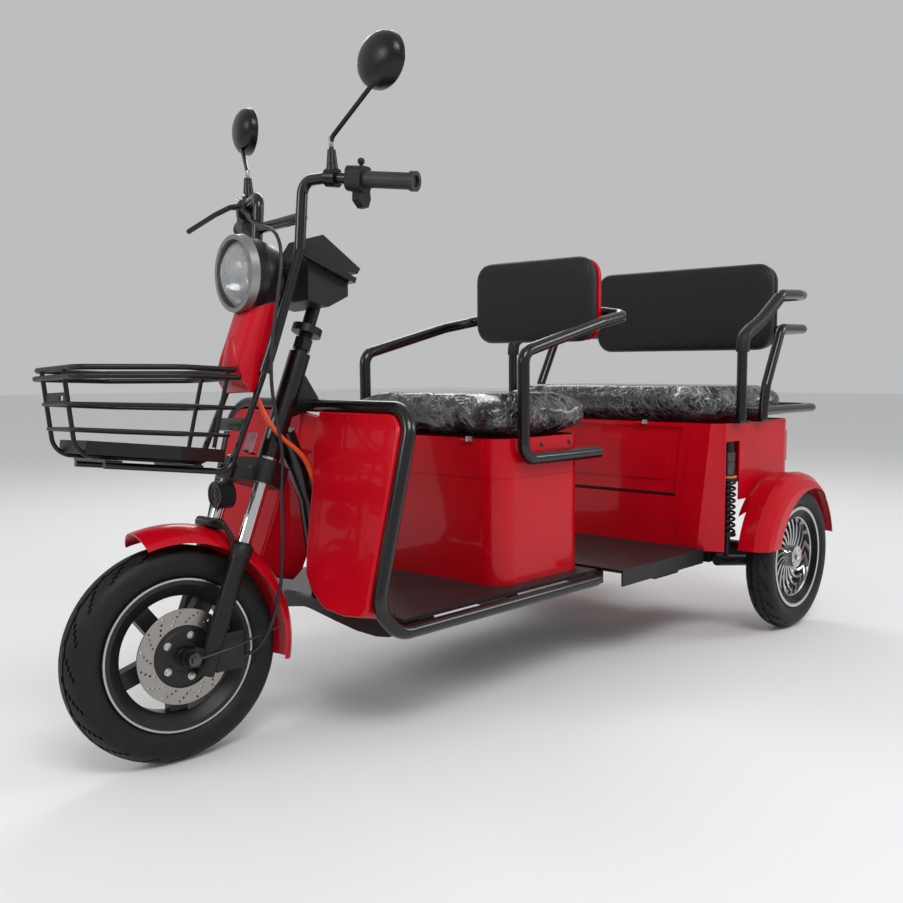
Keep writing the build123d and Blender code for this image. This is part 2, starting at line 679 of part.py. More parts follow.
def mirror_head(side, from_end, reach, swing):
    """Return the middle of a mirror's head, its stem swung back from straight out."""
    foot = mirror_foot(side, from_end)
    return (
        foot.X - reach * sin(radians(swing)),
        foot.Y + side * reach * cos(radians(swing)),
        MIRROR_HEAD_Z,
    )


def mirror_plane(side, from_end, reach, swing, toe):
    """Return the plane of a mirror's glass, its normal to the front and its X upright."""
    return Plane(origin=mirror_head(side, from_end, reach, swing), x_dir=(0, 0, 1),
                 z_dir=(cos(radians(toe)), side * sin(radians(toe)), 0))


with BuildPart() as mirrors:
    for mirror in MIRROR_SIDES:
        side, from_end, reach, swing, toe = mirror
        foot = mirror_foot(side, from_end)
        head = mirror_head(side, from_end, reach, swing)
        # The right mirror stands on the brake lever's clamp, the left one on a clamp of its own.
        base = foot.Z + BAR_DIAMETER / 2 + (2 if side > 0 else LEVER_CLAMP_WALL + 2)
        add(tube([
            (foot.X, foot.Y, base + 20),
            (foot.X, foot.Y, foot.Z + MIRROR_RISE),
            (head[0] + 14, head[1], head[2] - 40),
            (head[0] + 14, head[1], head[2]),
        ], MIRROR_STEM_DIAMETER, 18))
        with BuildSketch(mirror_plane(*mirror)):
            Ellipse(MIRROR_HEIGHT / 2, MIRROR_WIDTH / 2)
        with BuildSketch(mirror_plane(*mirror).offset(MIRROR_DEPTH)):
            Ellipse(MIRROR_HEIGHT / 4, MIRROR_WIDTH / 4)
        loft()
        with BuildSketch(mirror_plane(*mirror).offset(-MIRROR_LIP)):
            Ellipse(MIRROR_HEIGHT / 2, MIRROR_WIDTH / 2)
        extrude(amount=MIRROR_LIP)
        with BuildSketch(mirror_plane(*mirror).offset(-MIRROR_LIP)):
            Ellipse(MIRROR_HEIGHT / 2 - MIRROR_RIM, MIRROR_WIDTH / 2 - MIRROR_RIM)
        extrude(amount=GLASS_THICKNESS, mode=Mode.SUBTRACT)
        with Locations((foot.X, foot.Y, base)):
            Cone(MIRROR_STEM_DIAMETER + 3, MIRROR_STEM_DIAMETER - 1, 40,
                 align=(Align.CENTER, Align.CENTER, Align.MIN))
        if side > 0:
            with BuildSketch(on_bar(from_end + 12, side)):
                Circle(BAR_DIAMETER / 2 + 7)
            extrude(amount=24)
            add(tube(BAR_SIDE, BAR_DIAMETER + 2 * SEAT_GAP, BAR_BEND), mode=Mode.SUBTRACT)
mirrors.part = mirrors.part.rotate(STEER_AXIS, -STEER_REST)
mirrors.part.label = "mirrors"
export_step(mirrors.part, "parts/mirrors.step")

with BuildPart() as mirror_glass:
    for mirror in MIRROR_SIDES:
        with BuildSketch(mirror_plane(*mirror).offset(-MIRROR_LIP)):
            Ellipse(MIRROR_HEIGHT / 2 - MIRROR_RIM, MIRROR_WIDTH / 2 - MIRROR_RIM)
        extrude(amount=GLASS_THICKNESS)
mirror_glass.part = mirror_glass.part.rotate(STEER_AXIS, -STEER_REST)
mirror_glass.part.label = "mirror_glass"
export_step(mirror_glass.part, "parts/mirror_glass.step")

# ---------------------------------------------------------------- headlight
LAMP_AXIS = Axis((FRONT_AXLE_X, 0, LAMP_Z), (1, 0, 0))
LAMP_PLANE = Plane(origin=(FRONT_AXLE_X, 0, LAMP_Z), x_dir=(1, 0, 0), z_dir=(0, -1, 0))
with BuildPart() as headlight_housing:
    with BuildSketch(LAMP_PLANE):
        with BuildLine():
            Polyline(
                (-LAMP_RING_BACK, LAMP_DIAMETER / 2 - 4),
                (-LAMP_RING_BACK - 24, LAMP_DIAMETER / 2 - 5),
                (-LAMP_RING_BACK - 60, LAMP_DIAMETER / 2 - 16),
                (-LAMP_BACK, LAMP_DIAMETER / 4),
                (-LAMP_BACK, 0),
                (-LAMP_BACK + LAMP_WALL, 0),
                (-LAMP_BACK + LAMP_WALL, LAMP_DIAMETER / 4 - LAMP_WALL),
                (-LAMP_RING_BACK - 60, LAMP_DIAMETER / 2 - 16 - LAMP_WALL),
                (-LAMP_RING_BACK - 24, LAMP_DIAMETER / 2 - 5 - LAMP_WALL),
                (-LAMP_RING_BACK, LAMP_DIAMETER / 2 - 4 - LAMP_WALL),
                close=True,
            )
        make_face()
    revolve(axis=LAMP_AXIS)
    for side in (-1, 1):
        with BuildSketch(Plane(origin=(FRONT_AXLE_X - LAMP_EAR_BACK, side * (SIDE_TUBE_Y - 15), LAMP_Z),
                               x_dir=(1, 0, 0), z_dir=(0, -side, 0))):
            Circle(11)
        extrude(amount=LAMP_EAR_LENGTH)
headlight_housing.part = headlight_housing.part.rotate(STEER_AXIS, -STEER_REST)
headlight_housing.part.label = "headlight_housing"
export_step(headlight_housing.part, "parts/headlight_housing.step")

LENS_RIM = LAMP_DIAMETER / 2 - 12
with BuildPart() as headlight_ring:
    with BuildSketch(LAMP_PLANE):
        with BuildLine():
            Polyline(
                (-LAMP_RING_BACK, LAMP_DIAMETER / 2),
                (-LAMP_RING_BACK + LAMP_RING_DEPTH, LAMP_DIAMETER / 2 - 3),
                (-LAMP_RING_BACK + LAMP_RING_DEPTH, LENS_RIM + SEAT_GAP),
                (-LAMP_RING_BACK, LENS_RIM + SEAT_GAP),
                close=True,
            )
        make_face()
    revolve(axis=LAMP_AXIS)
headlight_ring.part = headlight_ring.part.rotate(STEER_AXIS, -STEER_REST)
headlight_ring.part.label = "headlight_ring"
export_step(headlight_ring.part, "parts/headlight_ring.step")

LENS_SAG = LAMP_RING_BACK - LENS_FRONT - 2
LENS_RADIUS = (LENS_RIM ** 2 + LENS_SAG ** 2) / (2 * LENS_SAG)
with BuildPart() as headlight_lens:
    with BuildSketch(LAMP_PLANE):
        with Locations((-LENS_FRONT - LENS_RADIUS, 0)):
            Circle(LENS_RADIUS)
            Circle(LENS_RADIUS - LENS_THICKNESS, mode=Mode.SUBTRACT)
        with Locations((-LENS_FRONT - LENS_SAG, 0)):
            Rectangle(LENS_SAG + 1, LENS_RIM, align=(Align.MIN, Align.MIN), mode=Mode.INTERSECT)
    revolve(axis=LAMP_AXIS)
headlight_lens.part = headlight_lens.part.rotate(STEER_AXIS, -STEER_REST)
headlight_lens.part.label = "headlight_lens"
export_step(headlight_lens.part, "parts/headlight_lens.step")

# ---------------------------------------------------------------- cowl and display
with BuildPart() as front_cowl:
    for shrink in (0, COWL_WALL):
        half = COWL_WIDTH / 2 - shrink
        with BuildSketch(STEER_PLANE.offset(LOCK_START - 400)):
            with BuildLine():
                nose = Spline(
                    (COWL_BACK - shrink, -half), (COWL_BACK + COWL_DEPTH - shrink, 0),
                    (COWL_BACK - shrink, half), tangents=((1, 0), (-1, 0)),
                )
                Line(nose @ 1, nose @ 0)
            make_face()
        extrude(amount=800, mode=Mode.SUBTRACT if shrink else Mode.ADD)
    with BuildSketch(Plane(origin=(FRONT_AXLE_X, COWL_WIDTH / 2, 0), x_dir=(1, 0, 0), z_dir=(0, -1, 0))):
        with BuildLine():
            Polyline(
                (-172, 862), (-152, 810), (-141, 752), (-146, 718), (-159, 696), (-176, 706),
                (-192, 740), (-252, 910), close=True,
            )
        make_face()
    extrude(amount=COWL_WIDTH, mode=Mode.INTERSECT)
    with Locations((FRONT_AXLE_X - LAMP_RING_BACK - 50, 0, LAMP_Z)):
        Cylinder(LAMP_DIAMETER / 2 + SEAT_GAP, 140, rotation=(0, 90, 0), mode=Mode.SUBTRACT)
front_cowl.part = front_cowl.part.rotate(STEER_AXIS, -STEER_REST)
front_cowl.part.label = "front_cowl"
export_step(front_cowl.part, "parts/front_cowl.step")

with BuildPart() as display:
    with BuildSketch(Plane(origin=(FRONT_AXLE_X, DISPLAY_WIDTH / 2, 0), x_dir=(1, 0, 0), z_dir=(0, -1, 0))):
        with BuildLine():
            Polyline(
                (-330, 1014), (-418, 951), (-410, 940), (-386, 944), (-384, 892), (-336, 868),
                (-288, 880), (-292, 960), close=True,
            )
        make_face()
    extrude(amount=DISPLAY_WIDTH)
    with BuildSketch(STEER_PLANE.offset(HEAD_TUBE_TOP)):
        Circle(STEERER_DIAMETER / 2)
    extrude(amount=STEM_TOP - HEAD_TUBE_TOP, mode=Mode.SUBTRACT)
    with BuildSketch(STEER_PLANE.offset(STEM_TOP - STEM_PLATE - SEAT_GAP)):
        with Locations(((STEM_PLATE_REACH - STEERER_DIAMETER) / 2, 0)):
            Rectangle(STEM_PLATE_REACH + STEERER_DIAMETER + 2 * SEAT_GAP, DISPLAY_WIDTH + 2)
    extrude(amount=STEM_PLATE + 2 * SEAT_GAP, mode=Mode.SUBTRACT)
display.part = display.part.rotate(STEER_AXIS, -STEER_REST)
display.part.label = "display"
export_step(display.part, "parts/display.step")

# ---------------------------------------------------------------- basket
def basket_outline(front, rear, front_half, side_half, rear_half):
    """Return the basket's plan at one height: a narrow nose, flared sides, cut rear corners."""
    return [
        (front, front_half), (BASKET_SIDE_X, side_half), (rear, rear_half),
        (rear, -rear_half), (BASKET_SIDE_X, -side_half), (front, -front_half),
    ]


def ring(outline, height, tilt, diameter):
    """Return a closed ring of rod that follows an outline ahead of the axle, its nose up by tilt."""
    lean = radians(tilt)
    plane = Plane(origin=(FRONT_AXLE_X, 0, height), x_dir=(cos(lean), 0, sin(lean)),
                  z_dir=(-sin(lean), 0, cos(lean)))
    with BuildSketch(plane) as plan:
        with BuildLine():
            Polyline(*outline, close=True)
        make_face()
        fillet(plan.vertices(), BASKET_CORNER)
    path = plan.sketch.faces()[0].outer_wire()
    with BuildPart() as loop:
        with BuildSketch(Plane(origin=path @ 0, z_dir=path % 0)):
            Circle(diameter / 2)
        sweep(path=path)
    return loop.part


BASKET_FLOOR = Plane(
    origin=(BASKET_FOOT_X, 0, BASKET_FOOT_Z),
    x_dir=(cos(radians(BASKET_LEAN)), 0, sin(radians(BASKET_LEAN))),
    z_dir=(-sin(radians(BASKET_LEAN)), 0, cos(radians(BASKET_LEAN))),
)
# Each ring: front, rear, half widths at the nose, the sides and the rear, height, tilt, rod.
BASKET_RINGS = (
    (184, -112, 95, 160, 90, 741, 1, BASKET_RIM_ROD),
    (187, -116, 100, 168, 98, 726, 1, BASKET_RIM_ROD),
    (186, -103, 66, 160, 102, 673, 3.2, BASKET_ROD - 1),
    (182, -90, 64, 152, 97, 624, 5, BASKET_ROD - 1),
)
HOOP_RUN = [(187, 741), (175, 594), (-70, 564), (-114, 739)]
with BuildPart() as basket:
    for front, rear, nose, sides, back, height, tilt, rod in BASKET_RINGS:
        add(ring(basket_outline(front, rear, nose, sides, back), height, tilt, rod))
    for side_y in (-BASKET_HOOP_Y, BASKET_HOOP_Y):
        add(tube([(FRONT_AXLE_X + x, side_y, z) for x, z in HOOP_RUN], BASKET_ROD, 36))
    # The sheet tray that the hoops carry, and the blank plate between them at the front.
    with BuildSketch(BASKET_FLOOR.offset(BASKET_ROD / 2 - 1)):
        with BuildLine():
            Polyline(
                (BASKET_LENGTH - 12, 62), (98, 138), (-10, 84), (-10, -84), (98, -138),
                (BASKET_LENGTH - 12, -62), close=True,
            )
        make_face()
    extrude(amount=TRAY_HEIGHT)
    with BuildSketch(BASKET_FLOOR.offset(BASKET_ROD / 2 - 1 + BASKET_SHEET)):
        with BuildLine():
            Polyline(
                (BASKET_LENGTH - 12, 62), (98, 138), (-10, 84), (-10, -84), (98, -138),
                (BASKET_LENGTH - 12, -62), close=True,
            )
        make_face()
        offset(amount=-BASKET_SHEET)
    extrude(amount=TRAY_HEIGHT, mode=Mode.SUBTRACT)
    with Locations((FRONT_AXLE_X + 183, 0, 691)):
        Box(3, 2 * BASKET_HOOP_Y, 24)
    with Locations((FRONT_AXLE_X + 183, 26, 693)):
        Box(10, 18, 8, mode=Mode.SUBTRACT)
basket.part = basket.part.rotate(STEER_AXIS, -STEER_REST)
basket.part.label = "basket"
export_step(basket.part, "parts/basket.step")

BAR_FOOT = Vector(*BAR_SIDE[0])
FOOT_RUN = (BAR_FOOT - Vector(*BAR_SIDE[1])).normalized()
SUPPORT_HEIGHT = -BASKET_ROD / 2 - SEAT_GAP - SUPPORT_STRAP - SUPPORT_ROD / 2 + 1
SUPPORT_RUN = [
    tuple(BAR_FOOT + FOOT_RUN * SEAT_GAP),
    tuple(BAR_FOOT + FOOT_RUN * 20),
    tuple(BASKET_FLOOR.from_local_coords((-30, SUPPORT_Y, SUPPORT_HEIGHT))),
    tuple(BASKET_FLOOR.from_local_coords((204, SUPPORT_Y, SUPPORT_HEIGHT))),
]
with BuildPart() as basket_support:
    add(tube(SUPPORT_RUN, SUPPORT_ROD, 30))
    add(tube(mirrored(SUPPORT_RUN), SUPPORT_ROD, 30))
    for place in SUPPORT_STRAPS:
        with BuildSketch(BASKET_FLOOR.offset(-BASKET_ROD / 2 - SEAT_GAP)):
            with Locations((place, 0)):
                Rectangle(30, 2 * SUPPORT_Y + SUPPORT_ROD)
        extrude(amount=-SUPPORT_STRAP)
    # The flat strap that ties the two supports together behind the basket.
    with BuildSketch(Plane(origin=(FRONT_AXLE_X - 142, 0, 634), x_dir=(0, 1, 0), z_dir=(1, 0, 0.42))):
        Rectangle(2 * SUPPORT_Y, 26)
    extrude(amount=4)
basket_support.part = basket_support.part.rotate(STEER_AXIS, -STEER_REST)
basket_support.part.label = "basket_support"
export_step(basket_support.part, "parts/basket_support.step")

# ---------------------------------------------------------------- horn and caliper
with BuildPart() as horn:
    with BuildSketch(Plane(origin=(FRONT_AXLE_X - 142, -21, 496), x_dir=(0, 1, 0), z_dir=(1, 0, 0))):
        Circle(HORN_DIAMETER / 2)
    extrude(amount=HORN_DEPTH)
    # The strap that hangs the horn on the fork crown's front face.
    with BuildSketch(STEER_PLANE.offset(CROWN_BOTTOM - 40)):
        with Locations((LEG_OFFSET + CROWN_CLAMP_DIAMETER / 2 + SEAT_GAP, -21)):
            Rectangle(3, 20, align=(Align.MIN, Align.CENTER))
    extrude(amount=70)
horn.part = horn.part.rotate(STEER_AXIS, -STEER_REST)
horn.part.label = "horn"
export_step(horn.part, "parts/horn.step")

with BuildPart() as brake_caliper:
    with Locations((FRONT_AXLE_X - CALIPER_BACK, DISC_Y + DISC_THICKNESS / 2, AXLE_HEIGHT - 5)):
        Box(CALIPER_LENGTH, CALIPER_WIDTH, CALIPER_HEIGHT, align=(Align.MIN, Align.CENTER, Align.CENTER))
    with Locations((FRONT_AXLE_X, DISC_Y + DISC_THICKNESS / 2, AXLE_HEIGHT)):
        Cylinder(DISC_DIAMETER / 2 + 5, DISC_THICKNESS + 10, rotation=(90, 0, 0), mode=Mode.SUBTRACT)
    with BuildSketch(STEER_PLANE.offset(SLIDER_FOOT)):
        with Locations((LEG_OFFSET, LEG_SPACING / 2)):
            Circle(SLIDER_DIAMETER / 2 + SEAT_GAP)
    extrude(amount=SLIDER_TOP - SLIDER_FOOT, mode=Mode.SUBTRACT)
brake_caliper.part = brake_caliper.part.rotate(STEER_AXIS, -STEER_REST)
brake_caliper.part.label = "brake_caliper"
export_step(brake_caliper.part, "parts/brake_caliper.step")

# ---------------------------------------------------------------- brake hose
# From the inner face of the lever's clamp, down outside the left side tube, to the caliper's back.
HOSE_OUT = on_bar(LEVER_CLAMP_IN, -1).from_local_coords((8, -12.8, -SEAT_GAP - HOSE_DIAMETER / 4))
HOSE_RUN = [
    (FRONT_AXLE_X - 262, -120, 1075), (FRONT_AXLE_X - 245, -60, 1045), (FRONT_AXLE_X - 235, 0, 1030),
    (FRONT_AXLE_X - 228, 60, 1010), (FRONT_AXLE_X - 215, 98, 960), (FRONT_AXLE_X - 200, 100, 880),
    (FRONT_AXLE_X - 185, 98, 800), (FRONT_AXLE_X - 180, 92, 720), (FRONT_AXLE_X - 190, 91, 640),
    (FRONT_AXLE_X - 198, 95, 580), (FRONT_AXLE_X - 192, 95, 520), (FRONT_AXLE_X - 193, 92, 463),
    (FRONT_AXLE_X - 193, 88, 402), (FRONT_AXLE_X - 190, 85, 354), (FRONT_AXLE_X - 185, 85, 312),
    (FRONT_AXLE_X - 165, 85, 248), (FRONT_AXLE_X - 150, 66, 205), (FRONT_AXLE_X - 136, 52, 187),
    (FRONT_AXLE_X - CALIPER_BACK - SEAT_GAP - HOSE_DIAMETER / 5, DISC_Y + 2, 180),
]
with BuildPart() as brake_hose:
    add(cord([tuple(HOSE_OUT)] + HOSE_RUN, HOSE_DIAMETER))
brake_hose.part = brake_hose.part.rotate(STEER_AXIS, -STEER_REST)
brake_hose.part.label = "brake_hose"
export_step(brake_hose.part, "parts/brake_hose.step")

# ---------------------------------------------------------------- main frame
def on_steer(along, ahead=0):
    """Return a point in the middle plane by its place along the steering axis and ahead."""
    return STEER_PLANE.from_local_coords((ahead, 0, along))


DOWN_TUBE = [
    tuple(on_steer(HEAD_TUBE_BOTTOM + 70, -HEAD_TUBE_DIAMETER / 2 + 4)),
    (FRONT_AXLE_X - 318, 0, 470),
    (FRONT_AXLE_X - 352, 0, KEEL_Z),
    (BODY_FRONT, 0, KEEL_Z),
]
CROSS_PLACES = (FRONT_AXLE_X - 380, FRONT_AXLE_X - 640, SEAT_BOX_REAR, BODY_FRONT - 30)
with BuildPart() as main_frame:
    with BuildSketch(STEER_PLANE.offset(HEAD_TUBE_BOTTOM)):
        Circle(HEAD_TUBE_DIAMETER / 2)
    extrude(amount=HEAD_TUBE_TOP - HEAD_TUBE_BOTTOM)
    add(tube(DOWN_TUBE, DOWN_TUBE_DIAMETER, 45))
    for side in (-1, 1):
        with Locations(((FRONT_AXLE_X - 380 + BODY_FRONT - 45) / 2, side * KEEL_Y, KEEL_TOP)):
            Box(FRONT_AXLE_X - 380 - BODY_FRONT + 45, KEEL_WIDTH, KEEL_DEPTH,
                align=(Align.CENTER, Align.CENTER, Align.MAX))
    for cross_x in CROSS_PLACES:
        with Locations((cross_x, 0, KEEL_TOP)):
            Box(KEEL_WIDTH, 2 * (EDGE_TUBE_Y - FRAME_TUBE / 2), KEEL_DEPTH - 4,
                align=(Align.CENTER, Align.CENTER, Align.MAX))
    with Locations((BODY_FRONT - 30, 0, KEEL_TOP)):
        Box(KEEL_WIDTH, 2 * SHOCK_Y - 30, KEEL_DEPTH - 4, align=(Align.CENTER, Align.CENTER, Align.MAX))
    with BuildSketch(Plane(origin=(0, GUSSET_THICKNESS / 2, 0), x_dir=(1, 0, 0), z_dir=(0, -1, 0))):
        with BuildLine():
            Polyline(
                tuple(on_steer(HEAD_TUBE_TOP - 20))[::2], tuple(on_steer(HEAD_TUBE_TOP - 150))[::2],
                (HOOP_TOP_X, HOOP_TOP_Z - 4), (HOOP_TOP_X - 6, HOOP_TOP_Z + 10), close=True,
            )
        make_face()
    extrude(amount=GUSSET_THICKNESS)
    with Locations((HOOP_TOP_X, 0, HOOP_TOP_Z)):
        Cylinder(FRAME_TUBE / 2 + SEAT_GAP, 60, rotation=(90, 0, 0), mode=Mode.SUBTRACT)
    with BuildSketch(STEER_PLANE.offset(HEAD_TUBE_BOTTOM)):
        Circle(STEERER_DIAMETER / 2 + STEERER_RUNNING_GAP)
    extrude(amount=HEAD_TUBE_TOP - HEAD_TUBE_BOTTOM, mode=Mode.SUBTRACT)
main_frame.part.label = "main_frame"
export_step(main_frame.part, "parts/main_frame.step")

# ---------------------------------------------------------------- battery cable
# From behind the cowl, in a sag past the head tube, and down beside the down tube to the floor.
CABLE_SIDE = DOWN_TUBE_DIAMETER / 2 + CABLE_DIAMETER / 2 + SEAT_GAP
CABLE_RUN = [
    (FRONT_AXLE_X - 170, 18, 722), (FRONT_AXLE_X - 182, 30, 670), (FRONT_AXLE_X - 214, 38, 613),
    (FRONT_AXLE_X - 267, 45, 574), (FRONT_AXLE_X - 296, 36, 536), (FRONT_AXLE_X - 318, 30, 480),
    (FRONT_AXLE_X - 330, CABLE_SIDE, 410), (FRONT_AXLE_X - 344, CABLE_SIDE, 330),
    (FRONT_AXLE_X - 352, CABLE_SIDE, FLOOR_TOP + 3 * SEAT_GAP),
]
with BuildPart() as orange_cable:
    add(cord(CABLE_RUN, CABLE_DIAMETER))
orange_cable.part.label = "orange_cable"
export_step(orange_cable.part, "parts/orange_cable.step")

# ---------------------------------------------------------------- guard tubes
GUARD_SIDE = [
    (HOOP_TOP_X, 0, HOOP_TOP_Z),
    (HOOP_TOP_X, HOOP_HALF_WIDTH, HOOP_TOP_Z),
    (HOOP_KNEE_X, HOOP_HALF_WIDTH, HOOP_KNEE_Z),
    (HOOP_HEEL_X, EDGE_TUBE_Y, EDGE_TUBE_Z),
    (SEAT_BOX_REAR + 30, EDGE_TUBE_Y, EDGE_TUBE_Z),
]
with BuildPart() as guard_tubes:
    add(tube(GUARD_SIDE, FRAME_TUBE, HOOP_BEND))
    add(tube(mirrored(GUARD_SIDE), FRAME_TUBE, HOOP_BEND))
guard_tubes.part.label = "guard_tubes"
export_step(guard_tubes.part, "parts/guard_tubes.step")

# ---------------------------------------------------------------- leg shields
SHIELD_PLANE = Plane(
    origin=(HOOP_TOP_X, 0, HOOP_TOP_Z),
    x_dir=(0, 1, 0),
    z_dir=(HOOP_TOP_Z - HOOP_KNEE_Z, 0, HOOP_KNEE_X - HOOP_TOP_X),
)
SHIELD_OUTER = HOOP_HALF_WIDTH - FRAME_TUBE / 2 - SEAT_GAP
with BuildPart() as leg_shields:
    for side in (-1, 1):
        with BuildSketch(SHIELD_PLANE.offset(SHIELD_LEAD - SHIELD_DEPTH)):
            with BuildLine():
                FilletPolyline(
                    (side * 36, -112), (side * 27, -92), (side * 27, -FRAME_TUBE / 2 - SEAT_GAP),
                    (side * SHIELD_OUTER, -FRAME_TUBE / 2 - SEAT_GAP), (side * SHIELD_OUTER, -410),
                    (side * 215, -416), (side * 155, -410), (side * 105, -380), (side * 80, -350),
                    (side * 68, -300), (side * 56, -225), (side * 46, -150), close=True,
                    radius=(7, 7, 7, HOOP_BEND - FRAME_TUBE / 2 - SEAT_GAP, 24, 7, 7, 7, 7, 7, 7, 7),
                )
            make_face()
        extrude(amount=SHIELD_DEPTH)
    fillet(leg_shields.faces().sort_by(Axis((0, 0, 0), SHIELD_PLANE.z_dir))[-2:].edges(), 6)
leg_shields.part.label = "leg_shields"
export_step(leg_shields.part, "parts/leg_shields.step")

# ---------------------------------------------------------------- footboards
with BuildPart() as footboard:
    with BuildSketch(Plane.XY.offset(FLOOR_TOP)):
        with BuildLine():
            Polyline(
                (FRONT_AXLE_X - 320, -FLOOR_HALF_WIDTH), (SEAT_BOX_REAR + 5, -FLOOR_HALF_WIDTH),
                (SEAT_BOX_REAR + 5, FLOOR_HALF_WIDTH), (FRONT_AXLE_X - 320, FLOOR_HALF_WIDTH),
                close=True,
            )
        make_face()
    extrude(amount=-FLOOR_THICKNESS)
    with Locations((FRONT_AXLE_X - 320, 0, FLOOR_TOP)):
        Box(2 * 70, DOWN_TUBE_DIAMETER + 12, 4 * FLOOR_THICKNESS, mode=Mode.SUBTRACT)
    # The skirt that closes the front below the leg shields, higher in the middle.
    with BuildSketch(Plane(origin=(FRONT_SKIRT_X, 0, 0), x_dir=(0, 1, 0), z_dir=(1, 0, 0))):
        with BuildLine():
            Polyline(
                (0, 240), (40, 234), (100, 224), (165, 215), (225, 213), (262, 218), (262, 262),
                (0, 262), (-262, 262), (-262, 218), (-225, 213), (-165, 215), (-100, 224), (-40, 234),
                close=True,
            )
        make_face()
    extrude(amount=-FRONT_SKIRT_DEPTH)
footboard.part.label = "footboard"
export_step(footboard.part, "parts/footboard.step")

with BuildPart() as rear_footboard:
    with BuildSketch(Plane.XY.offset(FLOOR_TOP)):
        with Locations(((REAR_FLOOR_FRONT + BODY_FRONT) / 2, 0)):
            Rectangle(REAR_FLOOR_FRONT - BODY_FRONT, 2 * REAR_FLOOR_HALF_WIDTH)
    extrude(amount=-FLOOR_THICKNESS)
    for side in (-1, 1):
        with Locations(((REAR_FLOOR_FRONT + BODY_FRONT) / 2, side * REAR_FLOOR_HALF_WIDTH, FLOOR_TOP)):
            Box(REAR_FLOOR_FRONT - BODY_FRONT, 5, SKIRT_DEPTH,
                align=(Align.CENTER, Align.MAX if side > 0 else Align.MIN, Align.MAX))
rear_footboard.part.label = "rear_footboard"
export_step(rear_footboard.part, "parts/rear_footboard.step")

# ---------------------------------------------------------------- front seat
def hinge_half(wall_x, seat_z, lid):
    """Return the knuckles of a seat hinge ahead of a wall: the fixed half or the lid's half."""
    pin_x = wall_x + HINGE_DIAMETER / 2 + SEAT_GAP
    pin_z = seat_z - HINGE_DROP
    side = 1 if lid else -1
    with BuildPart() as half:
        for place in HINGE_PLACES:
            middle = place + side * (HINGE_LENGTH / 2 + SEAT_GAP) / 2
            length = (HINGE_LENGTH - SEAT_GAP) / 2
            with Locations((pin_x, middle, pin_z)):
                Cylinder(HINGE_DIAMETER / 2, length, rotation=(90, 0, 0))
            if lid:
                with Locations((pin_x, middle, pin_z)):
                    Box(HINGE_LEAF, length, HINGE_DROP + CUSHION_GAP + 2,
                        align=(Align.CENTER, Align.CENTER, Align.MIN))
            else:
                with Locations((wall_x - 1, middle, pin_z)):
                    Box(pin_x - wall_x + 1, length, HINGE_LEAF, align=(Align.MIN, Align.CENTER, Align.CENTER))
    return half.part


SEAT_BOX_MIDDLE = (SEAT_BOX_FRONT + SEAT_BOX_REAR) / 2
SEAT_BOX_LENGTH = SEAT_BOX_FRONT - SEAT_BOX_REAR
with BuildPart() as front_seat_box:
    with BuildSketch(Plane.XY.offset(FLOOR_TOP)):
        with Locations((SEAT_BOX_MIDDLE, 0)):
            RectangleRounded(SEAT_BOX_LENGTH, 2 * SEAT_BOX_HALF_WIDTH, SEAT_BOX_CORNER)
            RectangleRounded(SEAT_BOX_LENGTH - 2 * SEAT_BOX_WALL,
                             2 * SEAT_BOX_HALF_WIDTH - 2 * SEAT_BOX_WALL,
                             SEAT_BOX_CORNER - SEAT_BOX_WALL, mode=Mode.SUBTRACT)
    extrude(amount=SEAT_BOX_TOP - FLOOR_TOP)
    # A groove around the box, where its upper and lower halves meet.
    with BuildSketch(Plane.XY.offset(SEAT_BOX_TOP - SEAM_DROP)):
        with Locations((SEAT_BOX_MIDDLE, 0)):
            RectangleRounded(SEAT_BOX_LENGTH + 2, 2 * SEAT_BOX_HALF_WIDTH + 2, SEAT_BOX_CORNER)
            RectangleRounded(SEAT_BOX_LENGTH - SEAM_DEPTH, 2 * SEAT_BOX_HALF_WIDTH - SEAM_DEPTH,
                             SEAT_BOX_CORNER - SEAM_DEPTH / 2, mode=Mode.SUBTRACT)
    extrude(amount=SEAM_DEPTH, mode=Mode.SUBTRACT)
    add(hinge_half(SEAT_BOX_FRONT, SEAT_BOX_TOP, lid=False))
front_seat_box.part.label = "front_seat_box"
export_step(front_seat_box.part, "parts/front_seat_box.step")

with BuildPart() as battery_pack:
    with Locations((SEAT_BOX_MIDDLE, 0, FLOOR_TOP)):
        Box(BATTERY_LENGTH, BATTERY_WIDTH, BATTERY_HEIGHT, align=(Align.CENTER, Align.CENTER, Align.MIN))
battery_pack.part.label = "battery_pack"
export_step(battery_pack.part, "parts/battery_pack.step")

with BuildPart() as front_cushion:
    with BuildSketch(Plane.XY.offset(SEAT_BOX_TOP + CUSHION_GAP)):
        with Locations((SEAT_BOX_MIDDLE - 6, 0)):
            RectangleRounded(SEAT_BOX_LENGTH + 34, 2 * SEAT_BOX_HALF_WIDTH + 6, SEAT_BOX_CORNER)
    extrude(amount=CUSHION_THICKNESS)
    fillet(front_cushion.faces().sort_by(Axis.Z)[-1].edges(), 30)
    add(hinge_half(SEAT_BOX_FRONT, SEAT_BOX_TOP, lid=True))
front_cushion.part.label = "front_cushion"
export_step(front_cushion.part, "parts/front_cushion.step")

